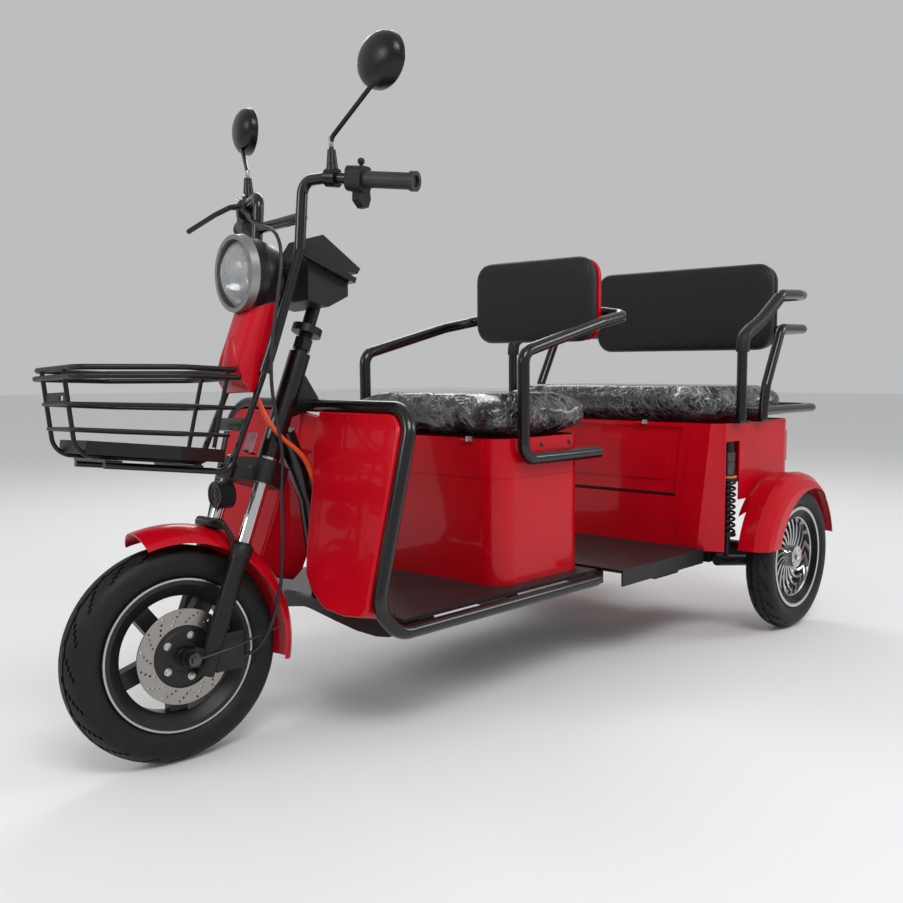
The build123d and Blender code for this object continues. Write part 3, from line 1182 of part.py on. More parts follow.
FRONT_RAIL_REAR = FRONT_BACKREST_X - BACKREST_PAD - BACKREST_SHELL - FRAME_TUBE / 2 - SEAT_GAP
FRONT_RAIL = [
    (SEAT_BOX_REAR - 30, FRONT_RAIL_Y, FRONT_RAIL_LOW_Z),
    (FRONT_RAIL_X, FRONT_RAIL_Y, FRONT_RAIL_LOW_Z),
    (FRONT_RAIL_X, FRONT_RAIL_Y, FRONT_RAIL_TOP_Z - 6),
    (FRONT_AXLE_X - 1000, FRONT_RAIL_Y, 858),
    (FRONT_RAIL_REAR, FRONT_RAIL_Y - 4, 880),
    (FRONT_RAIL_REAR, 80, 905),
]
with BuildPart() as front_rails:
    for points in (FRONT_RAIL, mirrored(FRONT_RAIL)):
        add(tube(points, FRAME_TUBE, 34))
    for side in (-1, 1):
        with Locations((SEAT_BOX_REAR + 60, side * SEAT_BOX_HALF_WIDTH, FRONT_RAIL_LOW_Z)):
            Box(50, FRONT_RAIL_Y - SEAT_BOX_HALF_WIDTH, 20,
                align=(Align.CENTER, Align.MIN if side > 0 else Align.MAX, Align.CENTER))
front_rails.part.label = "front_rails"
export_step(front_rails.part, "parts/front_rails.step")

with BuildPart() as front_backrest_pad:
    with BuildSketch(Plane(origin=(FRONT_BACKREST_X, 0, FRONT_BACKREST_MID_Z), x_dir=(0, 1, 0), z_dir=(-1, 0, 0))):
        RectangleRounded(FRONT_BACKREST_WIDTH, FRONT_BACKREST_HEIGHT, 45)
    extrude(amount=BACKREST_PAD)
    fillet(front_backrest_pad.faces().sort_by(Axis.X)[-1].edges(), 8)
front_backrest_pad.part.label = "front_backrest_pad"
export_step(front_backrest_pad.part, "parts/front_backrest_pad.step")

with BuildPart() as front_backrest_shell:
    with BuildSketch(Plane(origin=(FRONT_BACKREST_X - BACKREST_PAD, 0, FRONT_BACKREST_MID_Z), x_dir=(0, 1, 0), z_dir=(-1, 0, 0))):
        RectangleRounded(FRONT_BACKREST_WIDTH + 4, FRONT_BACKREST_HEIGHT + 4, 47)
    extrude(amount=BACKREST_SHELL)
front_backrest_shell.part.label = "front_backrest_shell"
export_step(front_backrest_shell.part, "parts/front_backrest_shell.step")

# ---------------------------------------------------------------- rear body
BODY_MIDDLE = (BODY_FRONT + BODY_REAR) / 2
BODY_LENGTH = BODY_FRONT - BODY_REAR
PANEL_PLANE = Plane(origin=(BODY_FRONT, 0, 0), x_dir=(0, 1, 0), z_dir=(1, 0, 0))
with BuildPart() as rear_body:
    with BuildSketch(Plane.XY.offset(BODY_BOTTOM)):
        with Locations((BODY_MIDDLE, 0)):
            Rectangle(BODY_LENGTH, 2 * BODY_HALF_WIDTH)
    extrude(amount=BODY_TOP - BODY_BOTTOM)
    fillet(rear_body.edges().filter_by(Axis.Z).group_by(Axis.X)[0], BODY_CORNER)
    # Front corners, cut from the slot's edge to the front face and leaning in towards the floor.
    for side in (-1, 1):
        with BuildSketch(Plane.XY.offset(BODY_BOTTOM - 1)):
            Polygon(
                (SLOT_FRONT + 2, side * (BODY_HALF_WIDTH + 1)), (BODY_FRONT + 1, side * 326),
                (BODY_FRONT + 40, side * 326), (BODY_FRONT + 40, side * (BODY_HALF_WIDTH + 40)),
                (SLOT_FRONT + 2, side * (BODY_HALF_WIDTH + 40)), align=None,
            )
        with BuildSketch(Plane.XY.offset(BODY_TOP + 1)):
            Polygon(
                (SLOT_FRONT + 2, side * (BODY_HALF_WIDTH + 1)), (BODY_FRONT + 1, side * 366),
                (BODY_FRONT + 40, side * 366), (BODY_FRONT + 40, side * (BODY_HALF_WIDTH + 40)),
                (SLOT_FRONT + 2, side * (BODY_HALF_WIDTH + 40)), align=None,
            )
        loft(mode=Mode.SUBTRACT)
    # The spring's pocket at each side and the space over the axle.
    for side in (-1, 1):
        with Locations((SLOT_FRONT, side * BODY_HALF_WIDTH, BODY_BOTTOM)):
            Box(SLOT_FRONT - ARCH_FRONT + 1, 2 * SHOCK_POCKET, SHOCK_SLOT_TOP - BODY_BOTTOM,
                align=(Align.MAX, Align.CENTER, Align.MIN), mode=Mode.SUBTRACT)
    with Locations((ARCH_FRONT, 0, BODY_BOTTOM)):
        Box(BODY_LENGTH, 3 * BODY_HALF_WIDTH, ARCH_HEIGHT, align=(Align.MAX, Align.CENTER, Align.MIN),
            mode=Mode.SUBTRACT)
    # The recess in the front panel and the slot line under it.
    with BuildSketch(PANEL_PLANE):
        Polygon(
            (256, 400), (271, 551), (280, 586), (-280, 586), (-271, 551), (-256, 400), align=None,
        )
    extrude(amount=-PANEL_RECESS, mode=Mode.SUBTRACT)
    with BuildSketch(PANEL_PLANE):
        Polygon((258, 391), (260, 400.1), (-260, 400.1), (-258, 391), align=None)
    extrude(amount=-PANEL_RECESS - 6, mode=Mode.SUBTRACT)
    offset(amount=-BODY_WALL, openings=rear_body.faces().sort_by(Axis.Z)[-1])
    # A raised field in the recess, a rib down each corner, and the skirt over the wheel.
    with BuildSketch(PANEL_PLANE.offset(-PANEL_RECESS)):
        Polygon((226, 438), (239, 545), (-239, 545), (-226, 438), align=None)
    extrude(amount=4)
    for side in (-1, 1):
        with BuildSketch(PANEL_PLANE.offset(-1)):
            Polygon(
                (side * 262, FLOOR_TOP), (side * 281, FLOOR_TOP), (side * 333, 590),
                (side * 306, 590), align=None,
            )
        extrude(amount=4)
        with Locations(((SLOT_REAR + BODY_REAR + BODY_CORNER) / 2, side * BODY_HALF_WIDTH, SKIRT_BOTTOM)):
            Box(SLOT_REAR - BODY_REAR - BODY_CORNER, BODY_WALL, BODY_BOTTOM + ARCH_HEIGHT - SKIRT_BOTTOM + 3,
                align=(Align.CENTER, Align.MAX if side > 0 else Align.MIN, Align.MIN))
        with Locations(((SLOT_REAR + ARCH_FRONT) / 2, side * BODY_HALF_WIDTH, SKIRT_BOTTOM)):
            Box(SLOT_REAR - ARCH_FRONT + 2, BODY_WALL, SHOCK_SLOT_TOP - SKIRT_BOTTOM + 3,
                align=(Align.CENTER, Align.MAX if side > 0 else Align.MIN, Align.MIN))
    add(hinge_half(BODY_FRONT, BODY_TOP, lid=False))
rear_body.part.label = "rear_body"
export_step(rear_body.part, "parts/rear_body.step")

with BuildPart() as rear_cushion:
    with BuildSketch(Plane.XY.offset(BODY_TOP + CUSHION_GAP)):
        with Locations((BODY_MIDDLE + 8, 0)):
            RectangleRounded(BODY_LENGTH - 6, 2 * BODY_HALF_WIDTH - 44, BODY_CORNER)
    extrude(amount=CUSHION_THICKNESS)
    fillet(rear_cushion.faces().sort_by(Axis.Z)[-1].edges(), 30)
    add(hinge_half(BODY_FRONT, BODY_TOP, lid=True))
rear_cushion.part.label = "rear_cushion"
export_step(rear_cushion.part, "parts/rear_cushion.step")

REAR_RAIL_REAR = REAR_BACKREST_X - BACKREST_PAD - BACKREST_SHELL - FRAME_TUBE / 2 - SEAT_GAP
REAR_RAIL_FOOT = BODY_TOP + RAIL_FOOT_PLATE / 2
REAR_RAIL = [
    (REAR_RAIL_X, REAR_RAIL_Y, REAR_RAIL_FOOT),
    (REAR_RAIL_X, REAR_RAIL_Y, 828),
    (FRONT_AXLE_X - 1555, REAR_RAIL_Y, 872),
    (FRONT_AXLE_X - 1690, REAR_RAIL_Y, 960),
    (FRONT_AXLE_X - 1800, REAR_RAIL_Y, 966),
    (REAR_RAIL_REAR, REAR_RAIL_Y - 10, 966),
    (REAR_RAIL_REAR, 150, 960),
]
RACK_RUN = [
    (RACK_FRONT, REAR_RAIL_Y, RACK_Z),
    (RACK_REAR, REAR_RAIL_Y, RACK_Z),
    (RACK_REAR, -REAR_RAIL_Y, RACK_Z),
    (RACK_FRONT, -REAR_RAIL_Y, RACK_Z),
]
REAR_BRACE = [
    (BRACE_FOOT_X, REAR_RAIL_Y, REAR_RAIL_FOOT),
    (FRONT_AXLE_X - 1602, REAR_RAIL_Y, 700),
    (FRONT_AXLE_X - 1690, REAR_RAIL_Y, 862),
    (REAR_RAIL_REAR, REAR_RAIL_Y - 4, 866),
    (REAR_RAIL_REAR, 150, 862),
]
with BuildPart() as rear_rails:
    for points in (REAR_RAIL, REAR_BRACE):
        add(tube(points, FRAME_TUBE, 30))
        add(tube(mirrored(points), FRAME_TUBE, 30))
    for foot_x in (REAR_RAIL_X, BRACE_FOOT_X):
        for side in (-1, 1):
            with Locations((foot_x, side * (REAR_RAIL_Y + FRAME_TUBE / 2), BODY_TOP)):
                Box(60, 44, RAIL_FOOT_PLATE,
                    align=(Align.CENTER, Align.MAX if side > 0 else Align.MIN, Align.MIN))
    # The rack that runs round behind the body, joined to the braces.
    add(tube(RACK_RUN, RACK_DIAMETER, 60))
    for side_y in (-140, 140):
        add(tube([(BODY_REAR - 1, side_y, RACK_Z), (RACK_REAR, side_y, RACK_Z)], 20))
rear_rails.part.label = "rear_rails"
export_step(rear_rails.part, "parts/rear_rails.step")

with BuildPart() as rear_backrest_pad:
    with BuildSketch(Plane(origin=(REAR_BACKREST_X, 0, REAR_BACKREST_MID_Z), x_dir=(0, 1, 0), z_dir=(-1, 0, 0))):
        RectangleRounded(REAR_BACKREST_WIDTH, REAR_BACKREST_HEIGHT, 50)
    extrude(amount=BACKREST_PAD)
    fillet(rear_backrest_pad.faces().sort_by(Axis.X)[-1].edges(), 8)
rear_backrest_pad.part.label = "rear_backrest_pad"
export_step(rear_backrest_pad.part, "parts/rear_backrest_pad.step")

with BuildPart() as rear_backrest_shell:
    with BuildSketch(Plane(origin=(REAR_BACKREST_X - BACKREST_PAD, 0, REAR_BACKREST_MID_Z), x_dir=(0, 1, 0), z_dir=(-1, 0, 0))):
        RectangleRounded(REAR_BACKREST_WIDTH + 4, REAR_BACKREST_HEIGHT + 4, 52)
    extrude(amount=BACKREST_SHELL)
rear_backrest_shell.part.label = "rear_backrest_shell"
export_step(rear_backrest_shell.part, "parts/rear_backrest_shell.step")

with BuildPart() as tail_lights:
    for side in (-1, 1):
        with Locations((BODY_REAR - 0.3, side * (BODY_HALF_WIDTH - 60), 560)):
            Box(14, 70, 90, align=(Align.MAX, Align.CENTER, Align.MAX))
tail_lights.part.label = "tail_lights"
export_step(tail_lights.part, "parts/tail_lights.step")

# ---------------------------------------------------------------- rear fenders
FENDER_INNER_Y = BODY_HALF_WIDTH + SEAT_GAP
with BuildPart() as rear_fenders:
    for side in (-1, 1):
        for shrink in (0, FENDER_WALL):
            with BuildSketch(section_plane(REAR_AXLE_X)):
                with BuildLine():
                    Polyline(
                        (side * FENDER_INNER_Y, 0), (side * FENDER_INNER_Y, FENDER_RADIUS - 14 - shrink),
                        (side * (FENDER_INNER_Y + 24), FENDER_RADIUS - 4 - shrink),
                        (side * (FENDER_OUTER_Y - 40), FENDER_RADIUS - shrink),
                        (side * (FENDER_OUTER_Y - FENDER_EDGE), FENDER_RADIUS - 5 - shrink),
                        (side * (FENDER_OUTER_Y - 5), FENDER_RADIUS - FENDER_EDGE - shrink),
                        (side * (FENDER_OUTER_Y - shrink), FENDER_RADIUS - 2 * FENDER_EDGE - shrink),
                        (side * (FENDER_OUTER_Y - shrink), 0), close=True,
                    )
                make_face()
            revolve(axis=REAR_AXLE, mode=Mode.SUBTRACT if shrink else Mode.ADD)
        # The wheel's opening in the outer side sits behind and below the axle.
        with Locations((REAR_AXLE_X - OPENING_BACK, side * FENDER_OUTER_Y, AXLE_HEIGHT - OPENING_DROP)):
            Cylinder(WHEEL_OPENING, 2 * FENDER_EDGE - 16, rotation=(90, 0, 0), mode=Mode.SUBTRACT)
    with Locations((REAR_AXLE_X, 0, AXLE_HEIGHT + FENDER_SKIRT)):
        Box(3 * FENDER_RADIUS, 3 * FENDER_OUTER_Y, 2 * FENDER_RADIUS,
            align=(Align.CENTER, Align.CENTER, Align.MAX), mode=Mode.SUBTRACT)
    # The pocket of each spring stays clear of the fender.
    for side in (-1, 1):
        with Locations((SLOT_REAR, side * FENDER_INNER_Y, AXLE_HEIGHT)):
            Box(200, 50, 3 * FENDER_RADIUS, align=(Align.MIN, Align.CENTER, Align.CENTER),
                mode=Mode.SUBTRACT)
rear_fenders.part.label = "rear_fenders"
export_step(rear_fenders.part, "parts/rear_fenders.step")

# ---------------------------------------------------------------- rear axle
WHEEL_MIDDLE_Y = REAR_TRACK / 2
ARM_FRONT = Vector(BODY_FRONT - 30, 0, KEEL_Z)
ARM_REAR = Vector(REAR_AXLE_X - 20, 0, AXLE_HEIGHT - AXLE_BEAM_DIAMETER / 2)
ARM_FALL = (ARM_FRONT.Z - ARM_REAR.Z) / (ARM_FRONT.X - ARM_REAR.X)
ARM_TOP_Z = (ARM_FRONT.Z + (SHOCK_X - ARM_FRONT.X) * ARM_FALL
             + (ARM_DIAMETER / 2) * (1 + ARM_FALL ** 2) ** 0.5 + SHOCK_ROD_DIAMETER / 2 * ARM_FALL)
with BuildPart() as rear_axle:
    with BuildSketch(wheel_plane(REAR_AXLE_X, -AXLE_BEAM_HALF)):
        Circle(AXLE_BEAM_DIAMETER / 2)
    extrude(amount=2 * AXLE_BEAM_HALF)
    for side in (-1, 1):
        # The arm that carries the beam, and the dark drum inside the wheel.
        add(tube([
            (ARM_FRONT.X, side * SHOCK_Y, ARM_FRONT.Z), (ARM_REAR.X, side * SHOCK_Y, ARM_REAR.Z),
        ], ARM_DIAMETER))
        with BuildSketch(wheel_plane(REAR_AXLE_X, side * (AXLE_BEAM_HALF - DRUM_INSET))):
            Circle(DRUM_DIAMETER / 2)
        extrude(amount=side * DRUM_WIDTH)
    with BuildSketch(wheel_plane(REAR_AXLE_X, -70)):
        Circle(78)
    extrude(amount=100)
    with BuildSketch(wheel_plane(REAR_AXLE_X, 30)):
        Circle(68)
    extrude(amount=110)
    with BuildSketch(wheel_plane(REAR_AXLE_X, -REAR_SPINDLE_HALF)):
        Circle(REAR_SPINDLE / 2)
    extrude(amount=2 * REAR_SPINDLE_HALF)
rear_axle.part.label = "rear_axle"
export_step(rear_axle.part, "parts/rear_axle.step")

with BuildPart() as rear_springs:
    for side in (-1, 1):
        with BuildSketch(Plane(origin=(SHOCK_X, side * SHOCK_Y, 0), x_dir=(1, 0, 0), z_dir=(0, -1, 0))):
            Polygon(
                (0, ARM_TOP_Z + SEAT_GAP), (SHOCK_ROD_DIAMETER / 2, ARM_TOP_Z + SEAT_GAP),
                (SHOCK_ROD_DIAMETER / 2, COIL_BOTTOM - SPRING_SEAT_HEIGHT),
                (COIL_DIAMETER / 2 + 1, COIL_BOTTOM - SPRING_SEAT_HEIGHT),
                (COIL_DIAMETER / 2 + 1, COIL_BOTTOM), (SHOCK_ROD_DIAMETER / 2, COIL_BOTTOM),
                (SHOCK_ROD_DIAMETER / 2, COIL_TOP), (COIL_DIAMETER / 2 + 1, COIL_TOP),
                (COIL_DIAMETER / 2 + 1, COIL_TOP + SPRING_SEAT_HEIGHT),
                (SHOCK_BODY_DIAMETER / 2, COIL_TOP + SPRING_SEAT_HEIGHT),
                (SHOCK_BODY_DIAMETER / 2, SHOCK_TOP_Z), (0, SHOCK_TOP_Z), align=None,
            )
        revolve(axis=Axis((SHOCK_X, side * SHOCK_Y, 0), (0, 0, 1)))
        coil_radius = (COIL_DIAMETER - COIL_WIRE) / 2
        with BuildLine(Plane(origin=(SHOCK_X, side * SHOCK_Y, COIL_BOTTOM))):
            coil = Helix(COIL_PITCH, COIL_TOP - COIL_BOTTOM, coil_radius)
        with BuildSketch(Plane(origin=coil @ 0, z_dir=coil % 0)):
            Circle(COIL_WIRE / 2)
        sweep(path=coil, is_frenet=True)
rear_springs.part.label = "rear_springs"
export_step(rear_springs.part, "parts/rear_springs.step")

# ---------------------------------------------------------------- rear wheels
HUB_START_Y = AXLE_BEAM_HALF - DRUM_INSET + DRUM_WIDTH + DRUM_GAP


def swirl_spoke():
    """Return one thin curved spoke from the hub to the rim, drawn about the wheel's middle."""
    turns = ((HUB_DIAMETER / 2 - 3, 0), ((HUB_DIAMETER + RIM_WELL_DIAMETER) / 4, SWIRL_TURN * 0.36),
             (RIM_WELL_DIAMETER / 2 - 2, SWIRL_TURN))
    with BuildSketch() as spoke:
        with BuildLine():
            ThreePointArc(*[
                (radius * cos(radians(turn)), radius * sin(radians(turn))) for radius, turn in turns
            ])
        trace(line_width=SWIRL_WIDTH)
    return spoke.sketch


for side, side_name in ((1, "left"), (-1, "right")):
    with BuildPart() as rear_tyre:
        revolve(tyre_section(REAR_AXLE_X, side * WHEEL_MIDDLE_Y), axis=REAR_AXLE)
    rear_tyre.part.label = f"rear_tyre_{side_name}"
    export_step(rear_tyre.part, f"parts/rear_tyre_{side_name}.step")

    with BuildPart() as rear_wheel:
        revolve(rim_section(REAR_AXLE_X, side * WHEEL_MIDDLE_Y), axis=REAR_AXLE)
        with BuildSketch(wheel_plane(REAR_AXLE_X, side * (WHEEL_MIDDLE_Y + SWIRL_OFFSET))):
            with PolarLocations(0, SWIRL_COUNT):
                add(swirl_spoke())
        extrude(amount=side * SWIRL_DEPTH)
        with BuildSketch(wheel_plane(REAR_AXLE_X, side * HUB_START_Y)):
            Circle(HUB_DIAMETER / 2)
        extrude(amount=side * (REAR_SPINDLE_HALF + HUB_CAP - HUB_START_Y))
        with BuildSketch(wheel_plane(REAR_AXLE_X, side * (HUB_START_Y - 1))):
            Circle(REAR_SPINDLE / 2 + AXLE_RUNNING_GAP)
        extrude(amount=side * (REAR_SPINDLE_HALF + SEAT_GAP - HUB_START_Y + 1), mode=Mode.SUBTRACT)
    rear_wheel.part.label = f"rear_wheel_{side_name}"
    export_step(rear_wheel.part, f"parts/rear_wheel_{side_name}.step")
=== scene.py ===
import json
from math import atan2, cos, hypot, pi, radians, sin

import bpy
from mathutils import Matrix, Vector


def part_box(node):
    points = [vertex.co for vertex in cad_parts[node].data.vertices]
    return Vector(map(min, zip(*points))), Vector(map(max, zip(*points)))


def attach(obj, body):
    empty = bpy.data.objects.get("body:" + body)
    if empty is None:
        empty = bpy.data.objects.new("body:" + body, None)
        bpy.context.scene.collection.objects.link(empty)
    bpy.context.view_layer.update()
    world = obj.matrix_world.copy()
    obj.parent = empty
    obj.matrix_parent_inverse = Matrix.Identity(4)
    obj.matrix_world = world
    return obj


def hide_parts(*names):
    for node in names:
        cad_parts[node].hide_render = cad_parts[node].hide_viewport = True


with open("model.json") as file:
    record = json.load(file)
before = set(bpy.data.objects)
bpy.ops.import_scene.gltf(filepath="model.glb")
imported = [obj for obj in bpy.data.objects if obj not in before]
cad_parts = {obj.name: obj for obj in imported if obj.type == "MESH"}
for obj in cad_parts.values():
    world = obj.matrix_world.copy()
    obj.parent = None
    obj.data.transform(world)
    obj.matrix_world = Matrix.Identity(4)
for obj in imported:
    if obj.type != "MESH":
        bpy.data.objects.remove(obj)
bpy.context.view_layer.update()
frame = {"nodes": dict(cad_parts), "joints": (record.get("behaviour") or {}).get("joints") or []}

# Electric passenger tricycle, in metres: +X forward, +Y the rider's left, +Z up.
JOINTS = {joint["name"]: joint for joint in frame["joints"]}
STEER_POINT = Vector(JOINTS["steering_turn"]["pos_m"])
STEER_LINE = Vector(JOINTS["steering_turn"]["axis"])
STEER_REST = radians(-6)
FRONT_HUB = Vector(JOINTS["front_wheel_spin"]["pos_m"])
FRONT_LINE = Vector(JOINTS["front_wheel_spin"]["axis"])
REAR_HUB_LEFT = Vector(JOINTS["rear_left_spin"]["pos_m"])
REAR_HUB_RIGHT = Vector(JOINTS["rear_right_spin"]["pos_m"])
AXLE_HEIGHT = REAR_HUB_LEFT.z
REAR_X = REAR_HUB_LEFT.x
FRONT_X = 0.884
RAKE = radians(21.5)
TYRE_RADIUS = 0.2065
BEAD_RADIUS = 0.1385

ORIGIN = Vector((0, 0, 0))
FORWARD, LEFT, UP = Vector((1, 0, 0)), Vector((0, 1, 0)), Vector((0, 0, 1))
SIDES = ((1, "left"), (-1, "right"))

# Turns a piece modelled with the steering straight into its place on the turned steering.
STEERED = (
    Matrix.Translation(STEER_POINT)
    @ Matrix.Rotation(STEER_REST, 4, STEER_LINE)
    @ Matrix.Translation(-STEER_POINT)
)


# ---------------------------------------------------------------- shader maths
class Signal:
    """A shader socket that takes part in plain arithmetic."""

    def __init__(self, tree, socket):
        self.tree = tree
        self.socket = socket

    def maths(self, operation, other=None, third=None):
        node = self.tree.nodes.new("ShaderNodeMath")
        node.operation = operation
        for place, value in enumerate((self, other, third)):
            if isinstance(value, Signal):
                self.tree.links.new(value.socket, node.inputs[place])
            elif value is not None:
                node.inputs[place].default_value = value
        return Signal(self.tree, node.outputs[0])

    def __add__(self, other):
        return self.maths("ADD", other)

    __radd__ = __add__

    def __mul__(self, other):
        return self.maths("MULTIPLY", other)

    __rmul__ = __mul__

    def __sub__(self, other):
        return self.maths("SUBTRACT", other)

    def __rsub__(self, other):
        return (self * -1) + other

    def __truediv__(self, other):
        return self.maths("DIVIDE", other)

    def __pow__(self, other):
        return self.maths("POWER", other)

    def clamped(self):
        return self.maths("MAXIMUM", 0.0).maths("MINIMUM", 1.0)

    def wave(self):
        return self.maths("SINE")

    def between(self, low, high):
        """Rise smoothly from 0 at low to 1 at high."""
        return ((self - low) / (high - low)).clamped()


class Finish:
    """A material made of nodes, with short ways to add patterns to it."""

    def __init__(self, name):
        self.material = bpy.data.materials.new(name)
        self.material.use_nodes = True
        self.tree = self.material.node_tree
        self.shader = self.tree.nodes["Principled BSDF"]

    def feed(self, socket, value):
        """Link a signal to a socket, or set a plain value or colour on it."""
        if isinstance(value, Signal):
            self.tree.links.new(value.socket, socket)
        elif socket.type == "RGBA":
            socket.default_value = (*value, 1.0)
        else:
            socket.default_value = value

    def node(self, kind, settings=None, **sockets):
        """Any node, by its type, its settings and what its sockets get."""
        made = self.tree.nodes.new(kind)
        for key, value in (settings or {}).items():
            setattr(made, key, value)
        for key, value in sockets.items():
            self.feed(made.inputs[key.replace("_", " ")], value)
        return made

    def place(self, scale=(1, 1, 1), turn=(0, 0, 0), kind="POINT"):
        """Object coordinates, stretched and turned."""
        coords = self.node("ShaderNodeTexCoord")
        source = Signal(self.tree, coords.outputs["Object"])
        mapping = self.node("ShaderNodeMapping", {"vector_type": kind},
                            Vector=source, Scale=scale, Rotation=turn)
        return Signal(self.tree, mapping.outputs["Vector"])

    def noise(self, size, detail=3.0, rough=0.5, stretch=(1, 1, 1)):
        """Noise with features about size metres across, from 0 to 1."""
        made = self.node("ShaderNodeTexNoise", None, Vector=self.place(stretch), Scale=1.0 / size,
                         Detail=detail, Roughness=rough)
        return Signal(self.tree, made.outputs[0])

    def streaks(self, width, length, turn):
        """Fine ridges, width metres across and length times as long, turned about the axes."""
        made = self.node("ShaderNodeTexNoise", None, Vector=self.place((length, 1, 1), turn, "TEXTURE"),
                         Scale=1.0 / width, Detail=2.0, Roughness=0.5, Distortion=0.25)
        return 1 - ((Signal(self.tree, made.outputs[0]) - 0.5).maths("ABSOLUTE") * 16).clamped()

    def cells(self, size):
        """Distance within cells about size metres across."""
        made = self.node("ShaderNodeTexVoronoi", None, Vector=self.place(), Scale=1.0 / size)
        return Signal(self.tree, made.outputs["Distance"])

    def axes(self):
        """The three object coordinates as separate signals."""
        parts = self.node("ShaderNodeSeparateXYZ", None, Vector=self.place())
        return [Signal(self.tree, output) for output in parts.outputs]

    def blend(self, factor, low, high):
        """A colour between low and high."""
        mix = self.node("ShaderNodeMix", {"data_type": "RGBA"})
        for number, value in ((0, factor), (6, low), (7, high)):
            self.feed(mix.inputs[number], value)
        return Signal(self.tree, mix.outputs[2])

    def bump(self, height, depth, strength):
        """A bumped normal from a height signal, depth metres deep."""
        made = self.node("ShaderNodeBump", None, Height=height, Distance=depth, Strength=strength)
        return Signal(self.tree, made.outputs["Normal"])

    def set(self, **sockets):
        """Feed the shader's own sockets."""
        for key, value in sockets.items():
            self.feed(self.shader.inputs[key.replace("_", " ")], value)
        return self


# ---------------------------------------------------------------- finishes
def red_paint():
    """Glossy red body paint, with a slight orange peel and a thin film of dust."""
    finish = Finish("red_paint")
    dust = finish.noise(0.16, 4.0, 0.6)
    peel = finish.noise(0.006, 2.0)
    speck = finish.noise(0.0015, 1.0).between(0.66, 0.74)
    deep = finish.blend(dust.between(0.35, 0.75), (0.47, 0.0008, 0.008), (0.55, 0.0015, 0.011))
    return finish.set(
        Base_Color=finish.blend(speck * 0.10, deep, (0.52, 0.008, 0.018)),
        Roughness=dust.between(0.3, 0.8) * 0.10 + 0.26,
        Normal=finish.bump(peel, 0.0002, 0.3),
        Coat_Weight=0.35, Coat_Roughness=0.05, Specular_IOR_Level=0.12,
    )


def black_tube_paint():
    """Gloss black paint on steel tube, scuffed lighter in fine short marks."""
    finish = Finish("black_tube_paint")
    haze = finish.noise(0.05, 4.0, 0.6)
    scuff = finish.noise(0.012, 5.0, 0.7, (1, 1, 6)).between(0.62, 0.72)
    peel = finish.noise(0.004, 2.0)
    return finish.set(
        Base_Color=finish.blend(scuff * 0.25, (0.0030, 0.0030, 0.0034), (0.03, 0.03, 0.033)),
        Roughness=haze * 0.18 + 0.16 + scuff * 0.2,
        Normal=finish.bump(peel, 0.0002, 0.4),
        Coat_Weight=0.35, Coat_Roughness=0.10, Specular_IOR_Level=0.35,
    )


def satin_black_metal(name, shade=0.012, rough=0.38):
    """Satin black paint on castings and brackets."""
    finish = Finish(name)
    grain = finish.noise(0.0022, 3.0)
    haze = finish.noise(0.03, 4.0)
    return finish.set(
        Base_Color=finish.blend(haze, (shade * 0.35,) * 3, (shade * 0.75,) * 3),
        Roughness=haze * 0.2 + rough - 0.08, Specular_IOR_Level=0.35,
        Normal=finish.bump(grain, 0.0004, 0.5),
    )


def moulded_plastic(name, shade=0.016, rough=0.5):
    """Moulded black plastic with a fine leather-like grain."""
    finish = Finish(name)
    grain = finish.cells(0.0016)
    haze = finish.noise(0.04, 4.0)
    return finish.set(
        Base_Color=finish.blend(haze, (shade * 0.35,) * 3, (shade * 0.65,) * 3),
        Roughness=haze * 0.16 + rough - 0.08, Specular_IOR_Level=0.35,
        Normal=finish.bump(grain, 0.0004, 0.35),
    )


def bright_metal(name, shade=0.62, rough=0.12, brushed=None):
    """Chromed or polished metal, with faint smears and, where given, brushing lines."""
    finish = Finish(name)
    smear = finish.noise(0.03, 4.0, 0.6)
    sockets = {
        "Base_Color": finish.blend(smear, (shade * 0.9,) * 3, (shade * 1.08,) * 3),
        "Metallic": 1.0,
        "Roughness": smear * 0.12 + rough - 0.04,
    }
    if brushed:
        lines = finish.noise(0.002, 2.0, 0.5, brushed)
        sockets["Normal"] = finish.bump(lines, 0.0002, 0.4)
    return finish.set(**sockets)


def tyre_rubber():
    """Black rubber, greyer and dustier on the tread's face."""
    finish = Finish("tyre_rubber")
    dust = finish.noise(0.03, 5.0, 0.65)
    grain = finish.noise(0.0012, 2.0)
    return finish.set(
        Base_Color=finish.blend(dust.between(0.4, 0.8), (0.0045, 0.0045, 0.0048),
                                (0.011, 0.011, 0.012)),
        Roughness=dust * 0.14 + 0.46, Specular_IOR_Level=0.3,
        Normal=finish.bump(grain, 0.0003, 0.4),
    )


def mat_rubber():
    """Moulded black rubber, dusty in its low places."""
    finish = Finish("mat_rubber")
    dust = finish.noise(0.07, 5.0, 0.6)
    grain = finish.noise(0.0015, 3.0)
    return finish.set(
        Base_Color=finish.blend(dust.between(0.35, 0.8), (0.012, 0.011, 0.012), (0.035, 0.033, 0.034)),
        Roughness=dust * 0.2 + 0.38,
        Normal=finish.bump(grain, 0.0004, 0.5),
    )


def seat_vinyl(name, shade):
    """Grained black seat vinyl."""
    finish = Finish(name)
    grain = finish.cells(0.0028)
    soft = finish.noise(0.09, 3.0)
    return finish.set(
        Base_Color=finish.blend(soft, (shade * 0.30,) * 3, (shade * 0.48, shade * 0.48, shade * 0.52)),
        Roughness=soft * 0.15 + 0.44, Specular_IOR_Level=0.3,
        Normal=finish.bump(grain, 0.0006, 0.45),
        Sheen_Weight=0.05, Sheen_Roughness=0.5,
    )


